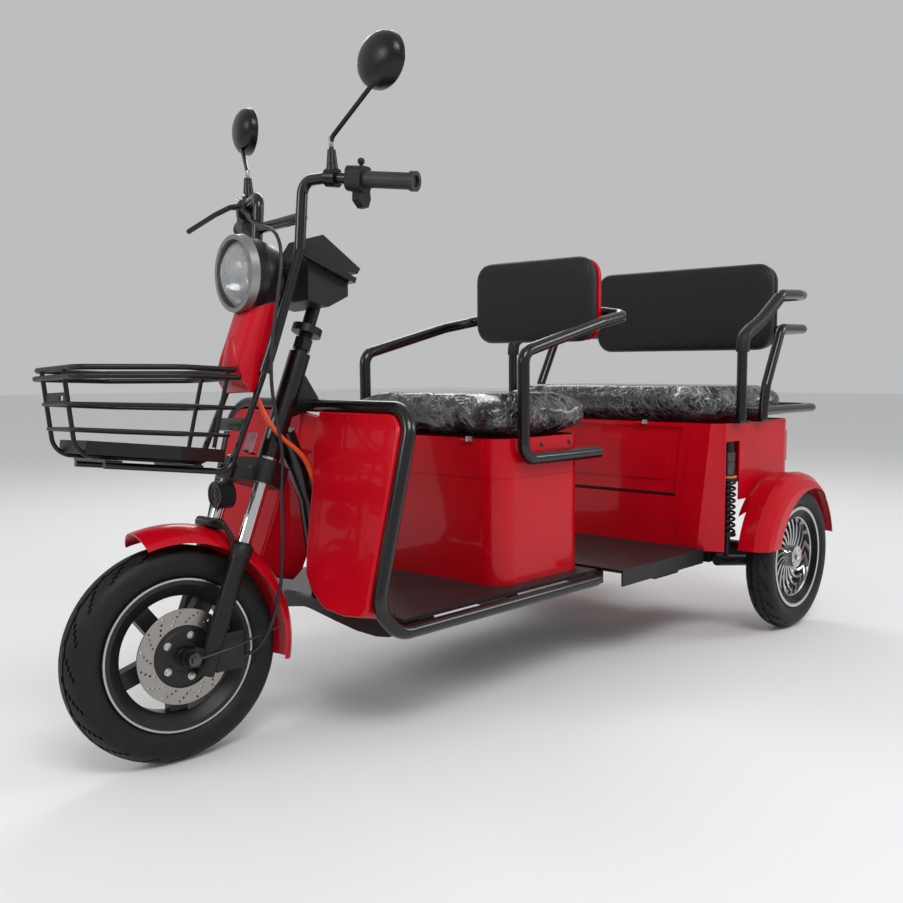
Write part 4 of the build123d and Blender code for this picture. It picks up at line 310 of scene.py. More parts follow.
def red_lens():
    """Ribbed red plastic."""
    finish = Finish("red_lens")
    ribs = finish.axes()[2] * 900.0
    return finish.set(
        Base_Color=(0.42, 0.008, 0.012), Roughness=0.12, Coat_Weight=0.8,
        Normal=finish.bump(ribs.wave(), 0.0008, 0.5),
    )


def mirror_face():
    """Mirror glass with faint smears."""
    finish = Finish("mirror_face")
    return finish.set(
        Base_Color=(0.86, 0.88, 0.9), Metallic=1.0, Roughness=finish.noise(0.05, 3.0) * 0.03 + 0.02,
    )


def rear_rim():
    """Chromed hub, spokes and rim edge, the well between them dark."""
    finish = Finish("rear_rim")
    x, _, z = finish.axes()
    away = ((x - REAR_X) * (x - REAR_X) + (z - AXLE_HEIGHT) * (z - AXLE_HEIGHT)) ** 0.5
    well = away.between(0.1135, 0.1150) * (1 - away.between(0.1355, 0.1365))
    smear = finish.noise(0.02, 4.0)
    return finish.set(
        Base_Color=finish.blend(well, (0.50, 0.50, 0.51), (0.012, 0.012, 0.013)), Metallic=0.95,
        Roughness=smear * 0.12 + well * 0.2 + 0.08,
    )


def clear_film_seat():
    """Grained black seat vinyl under a clear, tightly wrinkled plastic film, with whitish highlights
    painted along the wrinkles' ridges.
    """
    finish = Finish("film_over_vinyl")
    across = finish.streaks(0.030, 6.0, (0.1, 0.5, 0.65))
    aslant = finish.streaks(0.024, 5.0, (0.3, -0.6, -0.85))
    along = finish.streaks(0.036, 7.0, (0.0, 0.2, 1.75))
    folds = across.maths("MAXIMUM", aslant * 0.9).maths("MAXIMUM", along * 0.8)
    cloudy = finish.noise(0.13, 2.0)
    # Painted highlight: the film's ridges are painted whitish into the base colour, in cloudy patches.
    wrinkle_painted_highlight = (folds ** 2.6) * cloudy.between(0.36, 0.62)
    return finish.set(
        Base_Color=finish.blend(wrinkle_painted_highlight * 0.7, (0.006, 0.0062, 0.007), (0.36, 0.37, 0.39)),
        Roughness=0.26 - wrinkle_painted_highlight * 0.1 + cloudy * 0.1,
        Normal=finish.bump(folds, 0.004, 0.8),
        Coat_Weight=0.7, Coat_Roughness=0.12,
    )


BUMP_PITCH = 0.022


def rubber_mat_bumps():
    """The moulded mat with its rows of small round bumps, their tops painted lighter as a painted
    highlight, in patches.
    """
    finish = Finish("mat_with_bumps")
    x, y, z = finish.axes()
    turns = 2 * pi / BUMP_PITCH
    rows = (x * turns).wave() * (y * turns).wave()
    bumps = rows.maths("ABSOLUTE").between(0.30, 0.60) * z.between(0.2535, 0.2545)
    dust = finish.noise(0.07, 5.0, 0.6)
    return finish.set(
        # Painted highlight: the bump tops on the mat's top face are painted lighter, in patches set by a
        # noise; the low places keep the dark rubber colour.
        Base_Color=finish.blend(bumps * dust.between(0.1, 0.6), (0.0040, 0.0036, 0.0038),
                                (0.030, 0.026, 0.027)),
        Roughness=dust * 0.2 + 0.36,
        Normal=finish.bump(bumps, 0.0022, 0.8),
    )


def plain(name, colour, rough, metal=0.0, grain=0.002, depth=0.0002, coat=0.0):
    """A plain coloured finish with a fine grain and slight smears."""
    finish = Finish(name)
    smear = finish.noise(0.03, 4.0)
    darker = tuple(value * 0.85 for value in colour)
    return finish.set(
        Base_Color=finish.blend(smear, darker, colour), Roughness=smear * 0.14 + rough - 0.06,
        Normal=finish.bump(finish.noise(grain, 2.0), depth, 0.4), Metallic=metal, Coat_Weight=coat,
    )


def faceted_lens():
    """Clear moulded lens with fine facets."""
    finish = Finish("faceted_lens")
    facets = finish.cells(0.012)
    return finish.set(
        Base_Color=(0.74, 0.75, 0.76), Roughness=0.06, Transmission_Weight=0.74, IOR=1.3,
        Normal=finish.bump(facets, 0.002, 0.5),
    )


RED = red_paint()
TUBE = black_tube_paint()
SATIN = satin_black_metal("satin_black")
CASTING = satin_black_metal("black_casting", 0.02, 0.34)
PLASTIC = moulded_plastic("black_plastic")
GLOSS_PLASTIC = moulded_plastic("black_gloss_plastic", 0.010, 0.26)
LAMP_SHELL = satin_black_metal("lamp_shell_paint", 0.022, 0.32)
CHROME = bright_metal("chrome", 0.72, 0.09)
SPUN_STEEL = bright_metal("spun_steel", 0.33, 0.36, (1, 1, 1))
ZINC = bright_metal("zinc_bolt", 0.55, 0.32)
DARK_STEEL = bright_metal("dark_steel", 0.10, 0.34)
REAR_RIM = rear_rim()
TYRE = tyre_rubber()
MAT = mat_rubber()
VINYL = seat_vinyl("seat_vinyl", 0.020)
RED_LENS = red_lens()
MIRROR = mirror_face()
FILM = clear_film_seat()
MAT_BUMPS = rubber_mat_bumps()
ORANGE = plain("orange_sheath", (0.83, 0.085, 0.012), 0.38, grain=0.003)
DISC_STEEL = plain("disc_steel", (0.38, 0.36, 0.34), 0.34, 1.0, 0.0008, 0.0001)
RIM_EDGE = plain("machined_rim_edge", (0.52, 0.50, 0.47), 0.25, 1.0)
PINK_PLATE = plain("blank_pink_plate", (0.42, 0.20, 0.22), 0.4)
BRASS = plain("brass", (0.55, 0.42, 0.12), 0.3, 1.0)
HOSE_RUBBER = plain("hose_rubber", (0.012, 0.012, 0.013), 0.42, grain=0.0015)
SCREEN = plain("display_screen", (0.012, 0.014, 0.018), 0.12, coat=0.6)
AMBER = plain("amber_ring", (0.62, 0.19, 0.03), 0.4)
FACETS = faceted_lens()
LAMP_CHROME = plain("lamp_reflector_silver", (0.70, 0.71, 0.73), 0.16, 1.0)
LAMP_WHITE = plain("lamp_ring_white", (0.72, 0.73, 0.72), 0.3)

NODE_FINISHES = {
    RED: ("leg_shields", "front_seat_box", "rear_body", "rear_fenders", "front_fender", "front_cowl",
          "front_backrest_shell"),
    TUBE: ("main_frame", "guard_tubes", "front_rails", "rear_rails", "handlebar", "basket_support"),
    SATIN: ("basket", "rear_axle", "rear_springs", "rear_backrest_shell", "fork_sliders", "fork_crown"),
    PLASTIC: ("hand_controls", "display", "horn", "battery_pack"),
    GLOSS_PLASTIC: ("mirrors",),
    MAT: ("grips",),
    MAT_BUMPS: ("footboard", "rear_footboard"),
    VINYL: ("front_cushion", "rear_cushion", "front_backrest_pad", "rear_backrest_pad"),
    LAMP_SHELL: ("headlight_housing",),
    SPUN_STEEL: ("headlight_ring", "brake_disc"),
    DARK_STEEL: ("front_axle",),
    CHROME: ("fork_stanchions",),
    REAR_RIM: ("rear_wheel_left", "rear_wheel_right"),
    CASTING: ("front_wheel", "brake_caliper"),
    TYRE: ("front_tyre", "rear_tyre_left", "rear_tyre_right"),
    FACETS: ("headlight_lens",),
    RED_LENS: ("tail_lights",),
    MIRROR: ("mirror_glass",),
    ORANGE: ("orange_cable",),
    HOSE_RUBBER: ("brake_hose",),
}
for finish, names in NODE_FINISHES.items():
    for name in names:
        node_mesh = frame["nodes"][name].data
        node_mesh.materials.clear()
        node_mesh.materials.append(finish.material)


# ---------------------------------------------------------------- modelling helpers
def alone(piece):
    """Select one object and nothing else."""
    if bpy.context.object and bpy.context.object.mode != "OBJECT":
        bpy.ops.object.mode_set(mode="OBJECT")
    bpy.ops.object.select_all(action="DESELECT")
    piece.select_set(True)
    bpy.context.view_layer.objects.active = piece
    return piece


def settle(piece):
    """Put the object's origin at the frame's origin, with its place in its mesh."""
    alone(piece)
    bpy.ops.object.transform_apply(location=True, rotation=True, scale=True)
    return piece


def apply_modifier(piece, kind, **settings):
    """Add a modifier with its settings and apply it."""
    alone(piece)
    modifier = piece.modifiers.new(kind.lower(), kind)
    for key, value in settings.items():
        setattr(modifier, key, value)
    bpy.ops.object.modifier_apply(modifier=modifier.name)
    return piece


def joined(pieces):
    """Join several objects into the first."""
    alone(pieces[0])
    for piece in pieces[1:]:
        piece.select_set(True)
    bpy.ops.object.join()
    return pieces[0]


def finished(piece, name, body, finish, replaces=(), smooth=35):
    """Name a piece, give it its finish, and hang it on its body.

    A piece of the steering is modelled with the steering straight, and turned here.
    """
    settle(piece)
    piece.name = name
    piece.data.name = name
    if body == "steering":
        piece.data.transform(STEERED)
    piece.data.materials.clear()
    piece.data.materials.append(finish.material)
    bpy.ops.object.shade_smooth_by_angle(angle=radians(smooth))
    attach(piece, body)
    if replaces:
        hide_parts(*replaces)


def turned_to(line):
    """The turn that takes the sideways axle to another line."""
    return LEFT.rotation_difference(line).to_matrix().to_4x4()


def ring_profile(points, axis_point, axis_line, steps):
    """Spin a closed outline of (radius, across) points about an axle into a solid ring."""
    bpy.ops.object.select_all(action="DESELECT")
    bpy.ops.mesh.primitive_circle_add(vertices=len(points), radius=1, fill_type="NOTHING")
    piece = bpy.context.object
    for vertex, (radius, across) in zip(piece.data.vertices, points):
        vertex.co = Vector((0, across, radius))
    bpy.ops.object.mode_set(mode="EDIT")
    bpy.ops.mesh.select_all(action="SELECT")
    bpy.ops.mesh.spin(steps=steps, angle=2 * pi, center=(0, 0, 0), axis=(0, 1, 0))
    bpy.ops.mesh.select_all(action="SELECT")
    bpy.ops.mesh.remove_doubles(threshold=0.00002)
    bpy.ops.mesh.normals_make_consistent(inside=False)
    bpy.ops.object.mode_set(mode="OBJECT")
    piece.data.transform(Matrix.Translation(axis_point) @ turned_to(axis_line))
    return piece


def nearest_turn(turn, other):
    """The same direction as turn, by the angle that lies nearest to other."""
    return turn - 2 * pi * round((turn - other) / (2 * pi))


def arc_points(first, middle, last, count):
    """Points along the circle through three (radius, across) points."""
    (ax, ay), (bx, by), (cx, cy) = first, middle, last
    a, b, c = (x * x + y * y for x, y in (first, middle, last))
    double = 2 * (ax * (by - cy) + bx * (cy - ay) + cx * (ay - by))
    ux = (a * (by - cy) + b * (cy - ay) + c * (ay - by)) / double
    uy = (a * (cx - bx) + b * (ax - cx) + c * (bx - ax)) / double
    radius = hypot(ax - ux, ay - uy)
    start, halfway, end = (atan2(y - uy, x - ux) for x, y in (first, middle, last))
    sweep = nearest_turn(end, nearest_turn(halfway, start)) - start
    return [
        (ux + radius * cos(start + sweep * step / count), uy + radius * sin(start + sweep * step / count))
        for step in range(count + 1)
    ]


def rod(start, end, radius, sides=20, rounding=0.3):
    """A round bar from start to end, its end edges rounded."""
    bpy.ops.object.select_all(action="DESELECT")
    start, end = Vector(start), Vector(end)
    bpy.ops.mesh.primitive_cylinder_add(
        vertices=sides, radius=radius, depth=(end - start).length, location=(start + end) / 2,
        rotation=(end - start).to_track_quat("Z", "Y").to_euler(),
    )
    piece = settle(bpy.context.object)
    return apply_modifier(piece, "BEVEL", width=radius * rounding, segments=2, limit_method="ANGLE")


def bolt(place, line, radius=0.006, height=0.005):
    """A hexagon bolt head on its washer, standing on place along line."""
    place, line = Vector(place), Vector(line).normalized()
    washer = rod(place, place + line * 0.0015, radius * 1.45, 20, 0.1)
    head = rod(place + line * 0.0014, place + line * height, radius, 6, 0.12)
    return joined([washer, head])


def spline_path(points, radius, steps, roundness):
    """A round bar or cord along points, as a curve of one open spline."""
    bpy.ops.object.select_all(action="DESELECT")
    bpy.ops.curve.primitive_nurbs_path_add(location=(0, 0, 0))
    path = bpy.context.object
    path.data.splines.clear()
    spline = path.data.splines.new("NURBS")
    spline.points.add(len(points) - 1)
    for point, place in zip(spline.points, points):
        point.co = (*place, 1.0)
    spline.order_u = 3
    spline.use_endpoint_u = True
    spline.resolution_u = steps
    path.data.bevel_depth = radius
    path.data.bevel_resolution = roundness
    path.data.use_fill_caps = True
    return path


def bent_rod(points, radius):
    """A smooth round bar along points, as a mesh."""
    alone(spline_path(points, radius, 8, 4))
    bpy.ops.object.convert(target="MESH")
    return bpy.context.object


def slab(low, high, corners=0.0, along="X", edge=0.002, segments=5):
    """A flat block between two corners, its outline's corners rounded and its edges eased."""
    bpy.ops.object.select_all(action="DESELECT")
    low, high = Vector(low), Vector(high)
    bpy.ops.mesh.primitive_cube_add(size=1, location=(low + high) / 2)
    piece = bpy.context.object
    piece.scale = high - low
    settle(piece)
    axis = "XYZ".index(along)
    if corners:
        bpy.ops.object.mode_set(mode="EDIT")
        bpy.ops.mesh.select_mode(type="EDGE")
        bpy.ops.mesh.select_all(action="DESELECT")
        bpy.ops.object.mode_set(mode="OBJECT")
        for side in piece.data.edges:
            ends = [piece.data.vertices[index].co for index in side.vertices]
            side.select = abs(ends[0][axis] - ends[1][axis]) > 1e-6
        bpy.ops.object.mode_set(mode="EDIT")
        bpy.ops.mesh.bevel(offset=corners, segments=segments, affect="EDGES")
        bpy.ops.object.mode_set(mode="OBJECT")
    if edge:
        apply_modifier(piece, "BEVEL", width=edge, segments=2, limit_method="ANGLE",
                       angle_limit=radians(50))
    return piece


def pick_faces(piece, wanted):
    """Select only the faces of a piece for which wanted(face) is true, and enter edit mode."""
    alone(piece)
    bpy.ops.object.mode_set(mode="EDIT")
    bpy.ops.mesh.select_mode(type="FACE")
    bpy.ops.mesh.select_all(action="DESELECT")
    bpy.ops.object.mode_set(mode="OBJECT")
    for face in piece.data.polygons:
        face.select = wanted(face)
    bpy.ops.object.mode_set(mode="EDIT")


# ---------------------------------------------------------------- camera, floor and light
def set_camera():
    """Stand the camera where the object shows its front and left side."""
    data = bpy.data.cameras.new("camera")
    camera = bpy.data.objects.new("camera", data)
    bpy.context.scene.collection.objects.link(camera)
    forward = Vector((-0.7703, -0.6305, -0.0957)).normalized()
    right = Vector((-0.6334, 0.7738, 0.0)).normalized()
    up = right.cross(forward).normalized()
    camera.matrix_world = Matrix.Translation((1.8644, 1.6982, 0.7398)) @ Matrix((
        (right.x, up.x, -forward.x, 0), (right.y, up.y, -forward.y, 0),
        (right.z, up.z, -forward.z, 0), (0, 0, 0, 1),
    ))
    data.sensor_width = 36
    data.lens = 39.3967
    data.shift_x = -0.09845
    data.shift_y = 0.016058
    data.clip_start = 0.05
    bpy.context.scene.camera = camera


def set_stage():
    """A pale floor, a soft key light from the front left and three weaker lights."""
    bpy.ops.object.select_all(action="DESELECT")
    bpy.ops.mesh.primitive_plane_add(size=60, location=(0, 0, 0))
    floor = bpy.context.object
    floor.name = "floor"
    paper = Finish("floor_paper")
    paper.set(Base_Color=(0.86, 0.86, 0.86), Roughness=0.75)
    floor.data.materials.append(paper.material)
    world = bpy.data.worlds.new("studio")
    world.use_nodes = True
    sky = world.node_tree.nodes["Background"]
    sky.inputs["Color"].default_value = (0.98, 0.99, 1.0, 1.0)
    sky.inputs["Strength"].default_value = 0.52
    bpy.context.scene.world = world
    for name, place, size, power in (
        ("key", (2.2, 3.2, 4.2), 2.6, 120), ("side", (-3.2, 3.4, 2.6), 2.0, 45),
        ("back", (-2.5, -3.0, 3.4), 2.5, 55), ("front", (4.2, -1.2, 2.4), 1.6, 30),
    ):
        light = bpy.data.lights.new(name, "AREA")
        light.shape = "RECTANGLE"
        light.size = size
        light.size_y = size * 0.6
        light.energy = power
        lamp = bpy.data.objects.new(name, light)
        bpy.context.scene.collection.objects.link(lamp)
        lamp.location = place
        aim = Vector((0, 0, 0.5)) - Vector(place)
        lamp.rotation_euler = aim.to_track_quat("-Z", "Y").to_euler()
    bpy.context.scene.view_settings.view_transform = "Standard"


set_camera()
set_stage()

# ---------------------------------------------------------------- tyres
SHOULDER = TYRE_RADIUS - 0.013
CARCASS_RADIUS = 0.188
BEAD_LIP = 0.146
BULGE_RADIUS = (TYRE_RADIUS + BEAD_RADIUS) / 2
TREAD_STEPS = 120
TREAD_ROW = 0.0042
TREAD_DEPTH = 0.0032
tread = arc_points((SHOULDER, -0.032), (TYRE_RADIUS, 0), (SHOULDER, 0.032), 16)
left_wall = arc_points((SHOULDER, 0.032), (BULGE_RADIUS, 0.0395), (BEAD_LIP, 0.0285), 9)
right_wall = [(radius, -across) for radius, across in reversed(left_wall)]
inner_wall = [
    (BEAD_RADIUS, 0.0285), (BEAD_RADIUS, 0.020), (BULGE_RADIUS, 0.028), (CARCASS_RADIUS, 0.020),
    (CARCASS_RADIUS, -0.020), (BULGE_RADIUS, -0.028), (BEAD_RADIUS, -0.020), (BEAD_RADIUS, -0.0285),
]


def tread_face(face):
    """Whether a face of the tread lies in one of its grooves."""
    middle = face.center
    radius = hypot(middle.x, middle.z)
    if radius < SHOULDER or face.normal.dot(Vector((middle.x, 0, middle.z))) < 0:
        return False
    step = round(atan2(middle.z, middle.x) / (2 * pi) * TREAD_STEPS - 0.5) % TREAD_STEPS
    row = int(abs(middle.y) / TREAD_ROW)
    return row == 2 or (row != 0 and (step + (row if middle.y > 0 else row + 3)) % 6 == 0)


tyre = ring_profile(tread + left_wall[1:] + inner_wall + right_wall[:-1], ORIGIN, LEFT, TREAD_STEPS)
pick_faces(tyre, tread_face)
bpy.ops.mesh.extrude_region_shrink_fatten(TRANSFORM_OT_shrink_fatten={"value": -TREAD_DEPTH})
bpy.ops.object.mode_set(mode="OBJECT")
for name, hub, line, body, node in (
    ("front_tyre_treaded", FRONT_HUB, FRONT_LINE, "front_wheel_body", "front_tyre"),
    ("left_tyre_treaded", REAR_HUB_LEFT, LEFT, "rear_left_wheel", "rear_tyre_left"),
    ("right_tyre_treaded", REAR_HUB_RIGHT, LEFT, "rear_right_wheel", "rear_tyre_right"),
):
    alone(tyre)
    bpy.ops.object.duplicate()
    copy = bpy.context.object
    copy.data.transform(Matrix.Translation(hub) @ turned_to(line))
    finished(copy, name, body, TYRE, (node,), 30)
bpy.data.objects.remove(tyre, do_unlink=True)

# ---------------------------------------------------------------- front wheel trim and disc
for side, name in reversed(SIDES):
    edge = ring_profile([
        (0.1418, side * 0.0327), (0.1452, side * 0.0327), (0.1458, side * 0.0334),
        (0.1452, side * 0.0341), (0.1422, side * 0.0341), (0.1414, side * 0.0337),
    ], FRONT_HUB, FRONT_LINE, 96)
    finished(edge, f"rim_edge_{name}", "front_wheel_body", RIM_EDGE)

DISC_MIDDLE = 0.045
HOLE_GROUPS, HOLES_IN_GROUP, HOLE_RADIUS = 15, 4, 0.0023
DISC_BOLTS, BOLT_RING = 5, 0.0405
WHEEL_PLACE = Matrix.Translation(FRONT_HUB) @ turned_to(FRONT_LINE)
disc = ring_profile([
    (0.0585, 0.0434), (0.0590, 0.0430), (0.0895, 0.0430), (0.0900, 0.0435), (0.0900, 0.0465),
    (0.0895, 0.0470), (0.0590, 0.0470), (0.0585, 0.0466),
], ORIGIN, LEFT, 120)
drills = []
for group in range(HOLE_GROUPS):
    for row in range(HOLES_IN_GROUP):
        turn = radians(360 / HOLE_GROUPS * group + 5.2 * row)
        reach = 0.0645 + 0.0064 * row
        place = Vector((reach * cos(turn), DISC_MIDDLE, reach * sin(turn)))
        drills.append(rod(place - LEFT * 0.01, place + LEFT * 0.01, HOLE_RADIUS, 10, 0.01))
drills = joined(drills)
apply_modifier(disc, "BOOLEAN", operation="DIFFERENCE", object=drills, solver="EXACT")
bpy.data.objects.remove(drills, do_unlink=True)
disc.data.transform(WHEEL_PLACE)
finished(disc, "drilled_disc", "front_wheel_body", DISC_STEEL, ("brake_disc",), 30)
carrier = ring_profile([
    (0.0085, 0.0400), (0.0595, 0.0415), (0.0600, 0.0425), (0.0600, 0.0445), (0.0590, 0.0452),
    (0.0500, 0.0455), (0.0480, 0.0470), (0.0300, 0.0475), (0.0280, 0.0500), (0.0160, 0.0505),
    (0.0150, 0.0515), (0.0085, 0.0518),
], FRONT_HUB, FRONT_LINE, 60)
finished(carrier, "disc_carrier", "front_wheel_body", CASTING)
for place in range(DISC_BOLTS):
    turn = radians(360 / DISC_BOLTS * place + 38)
    head = bolt(Vector((BOLT_RING * cos(turn), 0.0471, BOLT_RING * sin(turn))), LEFT, 0.0052, 0.0042)
    head.data.transform(WHEEL_PLACE)
    finished(head, f"disc_bolt_{place + 1}", "front_wheel_body", ZINC)
stem = joined([
    rod((-0.118, 0.012, 0.0), (-0.098, 0.030, 0.0), 0.0042, 16),
    rod((-0.101, 0.0273, 0.0), (-0.092, 0.0354, 0.0), 0.0033, 12),
])
stem.data.transform(WHEEL_PLACE @ Matrix.Rotation(radians(-8), 4, "Y"))
finished(stem, "valve_stem", "front_wheel_body", BRASS)

# ---------------------------------------------------------------- lamp
LAMP_MIDDLE = Vector((FRONT_X, 0, 0.931))
HALO_RADIUS, HALO_PLACE, HALO_HALF_THICK = 0.0440, -0.1985, 0.0026
for name, steps, finish, points in (
    ("lamp_reflector", 64, LAMP_CHROME, [
        (0.0640, -0.1805), (0.0560, -0.2020), (0.0420, -0.2220), (0.0250, -0.2350), (0.0170, -0.2390),
        (0.0170, -0.2420), (0.0260, -0.2380), (0.0435, -0.2245), (0.0578, -0.2035), (0.0655, -0.1810),
    ]),
    ("lamp_projector", 48, LAMP_CHROME, [
        (0.0225, -0.2380), (0.0225, -0.2050), (0.0245, -0.2040), (0.0265, -0.2060), (0.0255, -0.2370),
    ]),
    ("lamp_dome", 40, SCREEN, [
        (0.0, -0.2390), (0.0222, -0.2360), (0.0222, -0.2140), (0.0180, -0.2065), (0.0100, -0.2030),
        (0.0, -0.2018),
    ]),
    ("lamp_halo", 64, LAMP_WHITE, [
        (HALO_RADIUS + HALO_HALF_THICK * cos(radians(40 * step)),
         HALO_PLACE + HALO_HALF_THICK * sin(radians(40 * step))) for step in range(9)
    ]),
):
    finished(ring_profile(points, LAMP_MIDDLE, FORWARD, steps), name, "steering", finish)

# ---------------------------------------------------------------- cushions and pads
def swollen(piece, limit, frames=20, pressure=4.0):
    """Blow a closed pad up with cloth pressure, no point moving further than limit."""
    alone(piece)
    before = [vertex.co.copy() for vertex in piece.data.vertices]
    cloth = piece.modifiers.new("swell", "CLOTH")
    cloth.settings.use_pressure = True
    cloth.settings.uniform_pressure_force = pressure
    cloth.settings.effector_weights.gravity = 0.0
    cloth.settings.quality = 4
    cloth.collision_settings.use_collision = False
    cloth.point_cache.frame_start = 1
    cloth.point_cache.frame_end = frames
    for number in range(1, frames + 1):
        bpy.context.scene.frame_set(number)
    bpy.ops.object.modifier_apply(modifier=cloth.name)
    bpy.context.scene.frame_set(1)
    for vertex, start in zip(piece.data.vertices, before):
        step = vertex.co - start
        if step.length > limit:
            vertex.co = start + step * (limit / step.length)
    return piece


def fitted(piece, low, high):
    """Stretch a pad a little so that it just fills the room that its solid gives it."""
    for axis in range(3):
        places = [vertex.co[axis] for vertex in piece.data.vertices]
        least, most = min(places), max(places)
        for vertex in piece.data.vertices:
            share = (vertex.co[axis] - least) / (most - least)
            vertex.co[axis] = low[axis] + share * (high[axis] - low[axis])
    return piece


def seat_cushion(end, low, high, corner):
    """A stuffed seat with rounded corners, crowned on top and flat where it rests."""
    low, high = Vector(low), Vector(high)
    pad = slab(low + Vector((0.008, 0.008, 0.0)), high - Vector((0.008, 0.008, 0.016)), corner, "Z", 0.0, 8)
    apply_modifier(pad, "BEVEL", width=0.024, segments=4, limit_method="ANGLE", angle_limit=radians(50))
    apply_modifier(pad, "REMESH", mode="VOXEL", voxel_size=0.006)
    swollen(pad, 0.024)
    apply_modifier(pad, "SMOOTH", factor=0.5, iterations=5)
    apply_modifier(pad, "SUBSURF", levels=1, render_levels=1)
    fitted(pad, low - Vector((0.004, 0.003, 0.0)), high + Vector((0.009, 0.003, 0.008)))
    node = f"{end}_cushion"
    finished(pad, f"{end}_seat_cushion", f"{end}_seat_lid", FILM, (node,), 60)


def backrest_pad(end, corner):
    """A stuffed back pad, crowned forwards and flat against its shell."""
    node = f"{end}_backrest_pad"
    low, high = (Vector(place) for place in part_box(node))
    pad = slab(low + Vector((0.0, 0.006, 0.006)), high - Vector((0.006, 0.006, 0.006)), corner, "X", 0.0, 8)
    apply_modifier(pad, "BEVEL", width=0.012, segments=4, limit_method="ANGLE", angle_limit=radians(50))
    apply_modifier(pad, "REMESH", mode="VOXEL", voxel_size=0.005)
    swollen(pad, 0.003, 6, 1.2)
    apply_modifier(pad, "SMOOTH", factor=0.5, iterations=10)
    apply_modifier(pad, "SUBSURF", levels=1, render_levels=1)
    fitted(pad, low - Vector((0.0, 0.006, 0.006)), high + Vector((0.008, 0.006, 0.006)))
    finished(pad, f"{end}_back_pad", "chassis", VINYL, (node,), 60)


seat_cushion("front", (-0.104, -0.248, 0.5885), (0.245, 0.248, 0.6805), 0.055)
seat_cushion("rear", (-0.917, -0.376, 0.5985), (-0.483, 0.376, 0.6905), 0.060)
backrest_pad("front", 0.045)
backrest_pad("rear", 0.050)

# Each lid's two hinge knuckles: a barrel round the pin and the leaf above it.
KNUCKLE_WIDTH, KNUCKLE_RADIUS = 0.0163, 0.0040
for end in ("front", "rear"):
    pin = Vector(JOINTS[f"{end}_seat_hinge"]["pos_m"])
    knuckles = []
    for place in (-0.150, 0.150):
        start = pin + LEFT * (place + 0.0005)
        knuckles.append(rod(start, start + LEFT * KNUCKLE_WIDTH, KNUCKLE_RADIUS, 20, 0.15))
        knuckles.append(slab(start + Vector((-KNUCKLE_RADIUS, 0, 0.0028)),
                             start + Vector((0.0034, KNUCKLE_WIDTH, 0.0090)), 0, "X", 0.0008))
    finished(joined(knuckles), f"{end}_seat_lid_knuckles", f"{end}_seat_lid", ZINC)

# ---------------------------------------------------------------- cords
HOSE_POINTS = [
    (-0.2923, -0.1688, 1.0937), (-0.262, -0.120, 1.075), (-0.245, -0.060, 1.045), (-0.235, 0.0, 1.030),
    (-0.228, 0.060, 1.010), (-0.215, 0.098, 0.960), (-0.200, 0.100, 0.880), (-0.185, 0.098, 0.800),
    (-0.180, 0.092, 0.720), (-0.190, 0.091, 0.640), (-0.198, 0.095, 0.580), (-0.192, 0.095, 0.520),
    (-0.193, 0.092, 0.463), (-0.193, 0.088, 0.402), (-0.190, 0.085, 0.354), (-0.185, 0.085, 0.312),
    (-0.165, 0.085, 0.248), (-0.150, 0.066, 0.205), (-0.136, 0.052, 0.187), (-0.1147, 0.045, 0.180),
]
CABLE_POINTS = [
    (-0.170, 0.018, 0.722), (-0.182, 0.030, 0.670), (-0.214, 0.038, 0.613), (-0.267, 0.045, 0.574),
    (-0.296, 0.036, 0.536), (-0.318, 0.030, 0.480), (-0.330, 0.0263, 0.410), (-0.344, 0.0263, 0.330),
    (-0.352, 0.0263, 0.2559),
]


def held_cord(name, points, diameter, finish, node, body):
    """A cord along its route, as a spline that the route's points pull."""
    places = [Vector((FRONT_X + x, y, z)) for x, y, z in points]
    if body == "steering":
        places = [STEERED @ place for place in places]
    path = spline_path(places, diameter / 2, 12, 4)
    path.name = name
    path.data.materials.append(finish.material)
    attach(path, body)
    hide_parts(node)


held_cord("brake_hose_cord", HOSE_POINTS, 0.007, HOSE_RUBBER, "brake_hose", "steering")
held_cord("orange_cable_cord", CABLE_POINTS, 0.010, ORANGE, "orange_cable", "chassis")

# ---------------------------------------------------------------- mirrors' shells
GRIP_POINT = Vector((FRONT_X - 0.366, 0.330, 1.080))
BAR_LINE = (GRIP_POINT - Vector((FRONT_X - 0.292, 0.150, 1.108))).normalized()
MIRROR_HEAD_Z, MIRROR_WIDTH, MIRROR_HEIGHT = 1.302, 0.126, 0.102
# Each mirror: its clamp's distance in from the grip's end, its reach, its swing and its toe.
MIRRORS = {"left": (0.186, 0.134, 12, 0), "right": (0.166, 0.145, 30, 13)}


def on_bar(from_end, side):
    """A point on the left or right bar's axis, a distance in from its grip's end."""
    place = GRIP_POINT - BAR_LINE * from_end
    return Vector((place.x, side * place.y, place.z))


for side, name in SIDES:
    from_end, reach, swing, toe = MIRRORS[name]
    foot = on_bar(from_end, side)
    head = Vector((foot.x - reach * sin(radians(swing)), foot.y + side * reach * cos(radians(swing)),
                   MIRROR_HEAD_Z))
    shell = ring_profile([
        (0.0, 0.0040), (0.95, 0.0040), (0.95, -0.0082), (0.972, -0.0090), (1.000, -0.0092),
        (1.018, -0.0080), (1.022, -0.0040), (1.012, 0.0015), (0.985, 0.0065), (0.90, 0.0130),
        (0.74, 0.0195), (0.52, 0.0245), (0.26, 0.0270), (0.0, 0.0278),
    ], ORIGIN, FORWARD, 48)
    shell.data.transform(
        Matrix.Translation(head)
        @ Matrix.Rotation(side * radians(toe), 4, "Z")
        @ Matrix.Diagonal((1.0, MIRROR_WIDTH / 2, MIRROR_HEIGHT / 2, 1.0))
    )
    finished(shell, f"mirror_shell_{name}", "steering", GLOSS_PLASTIC)
    stub = rod(foot + UP * 0.058, foot + UP * 0.078, 0.0048, 16, 0.1)
    finished(stub, f"mirror_stub_{name}", "steering", SPUN_STEEL)

# ---------------------------------------------------------------- grips and controls
POD_EDGE = 0.1275
LEVER_CLAMP = on_bar(0.166, -1)


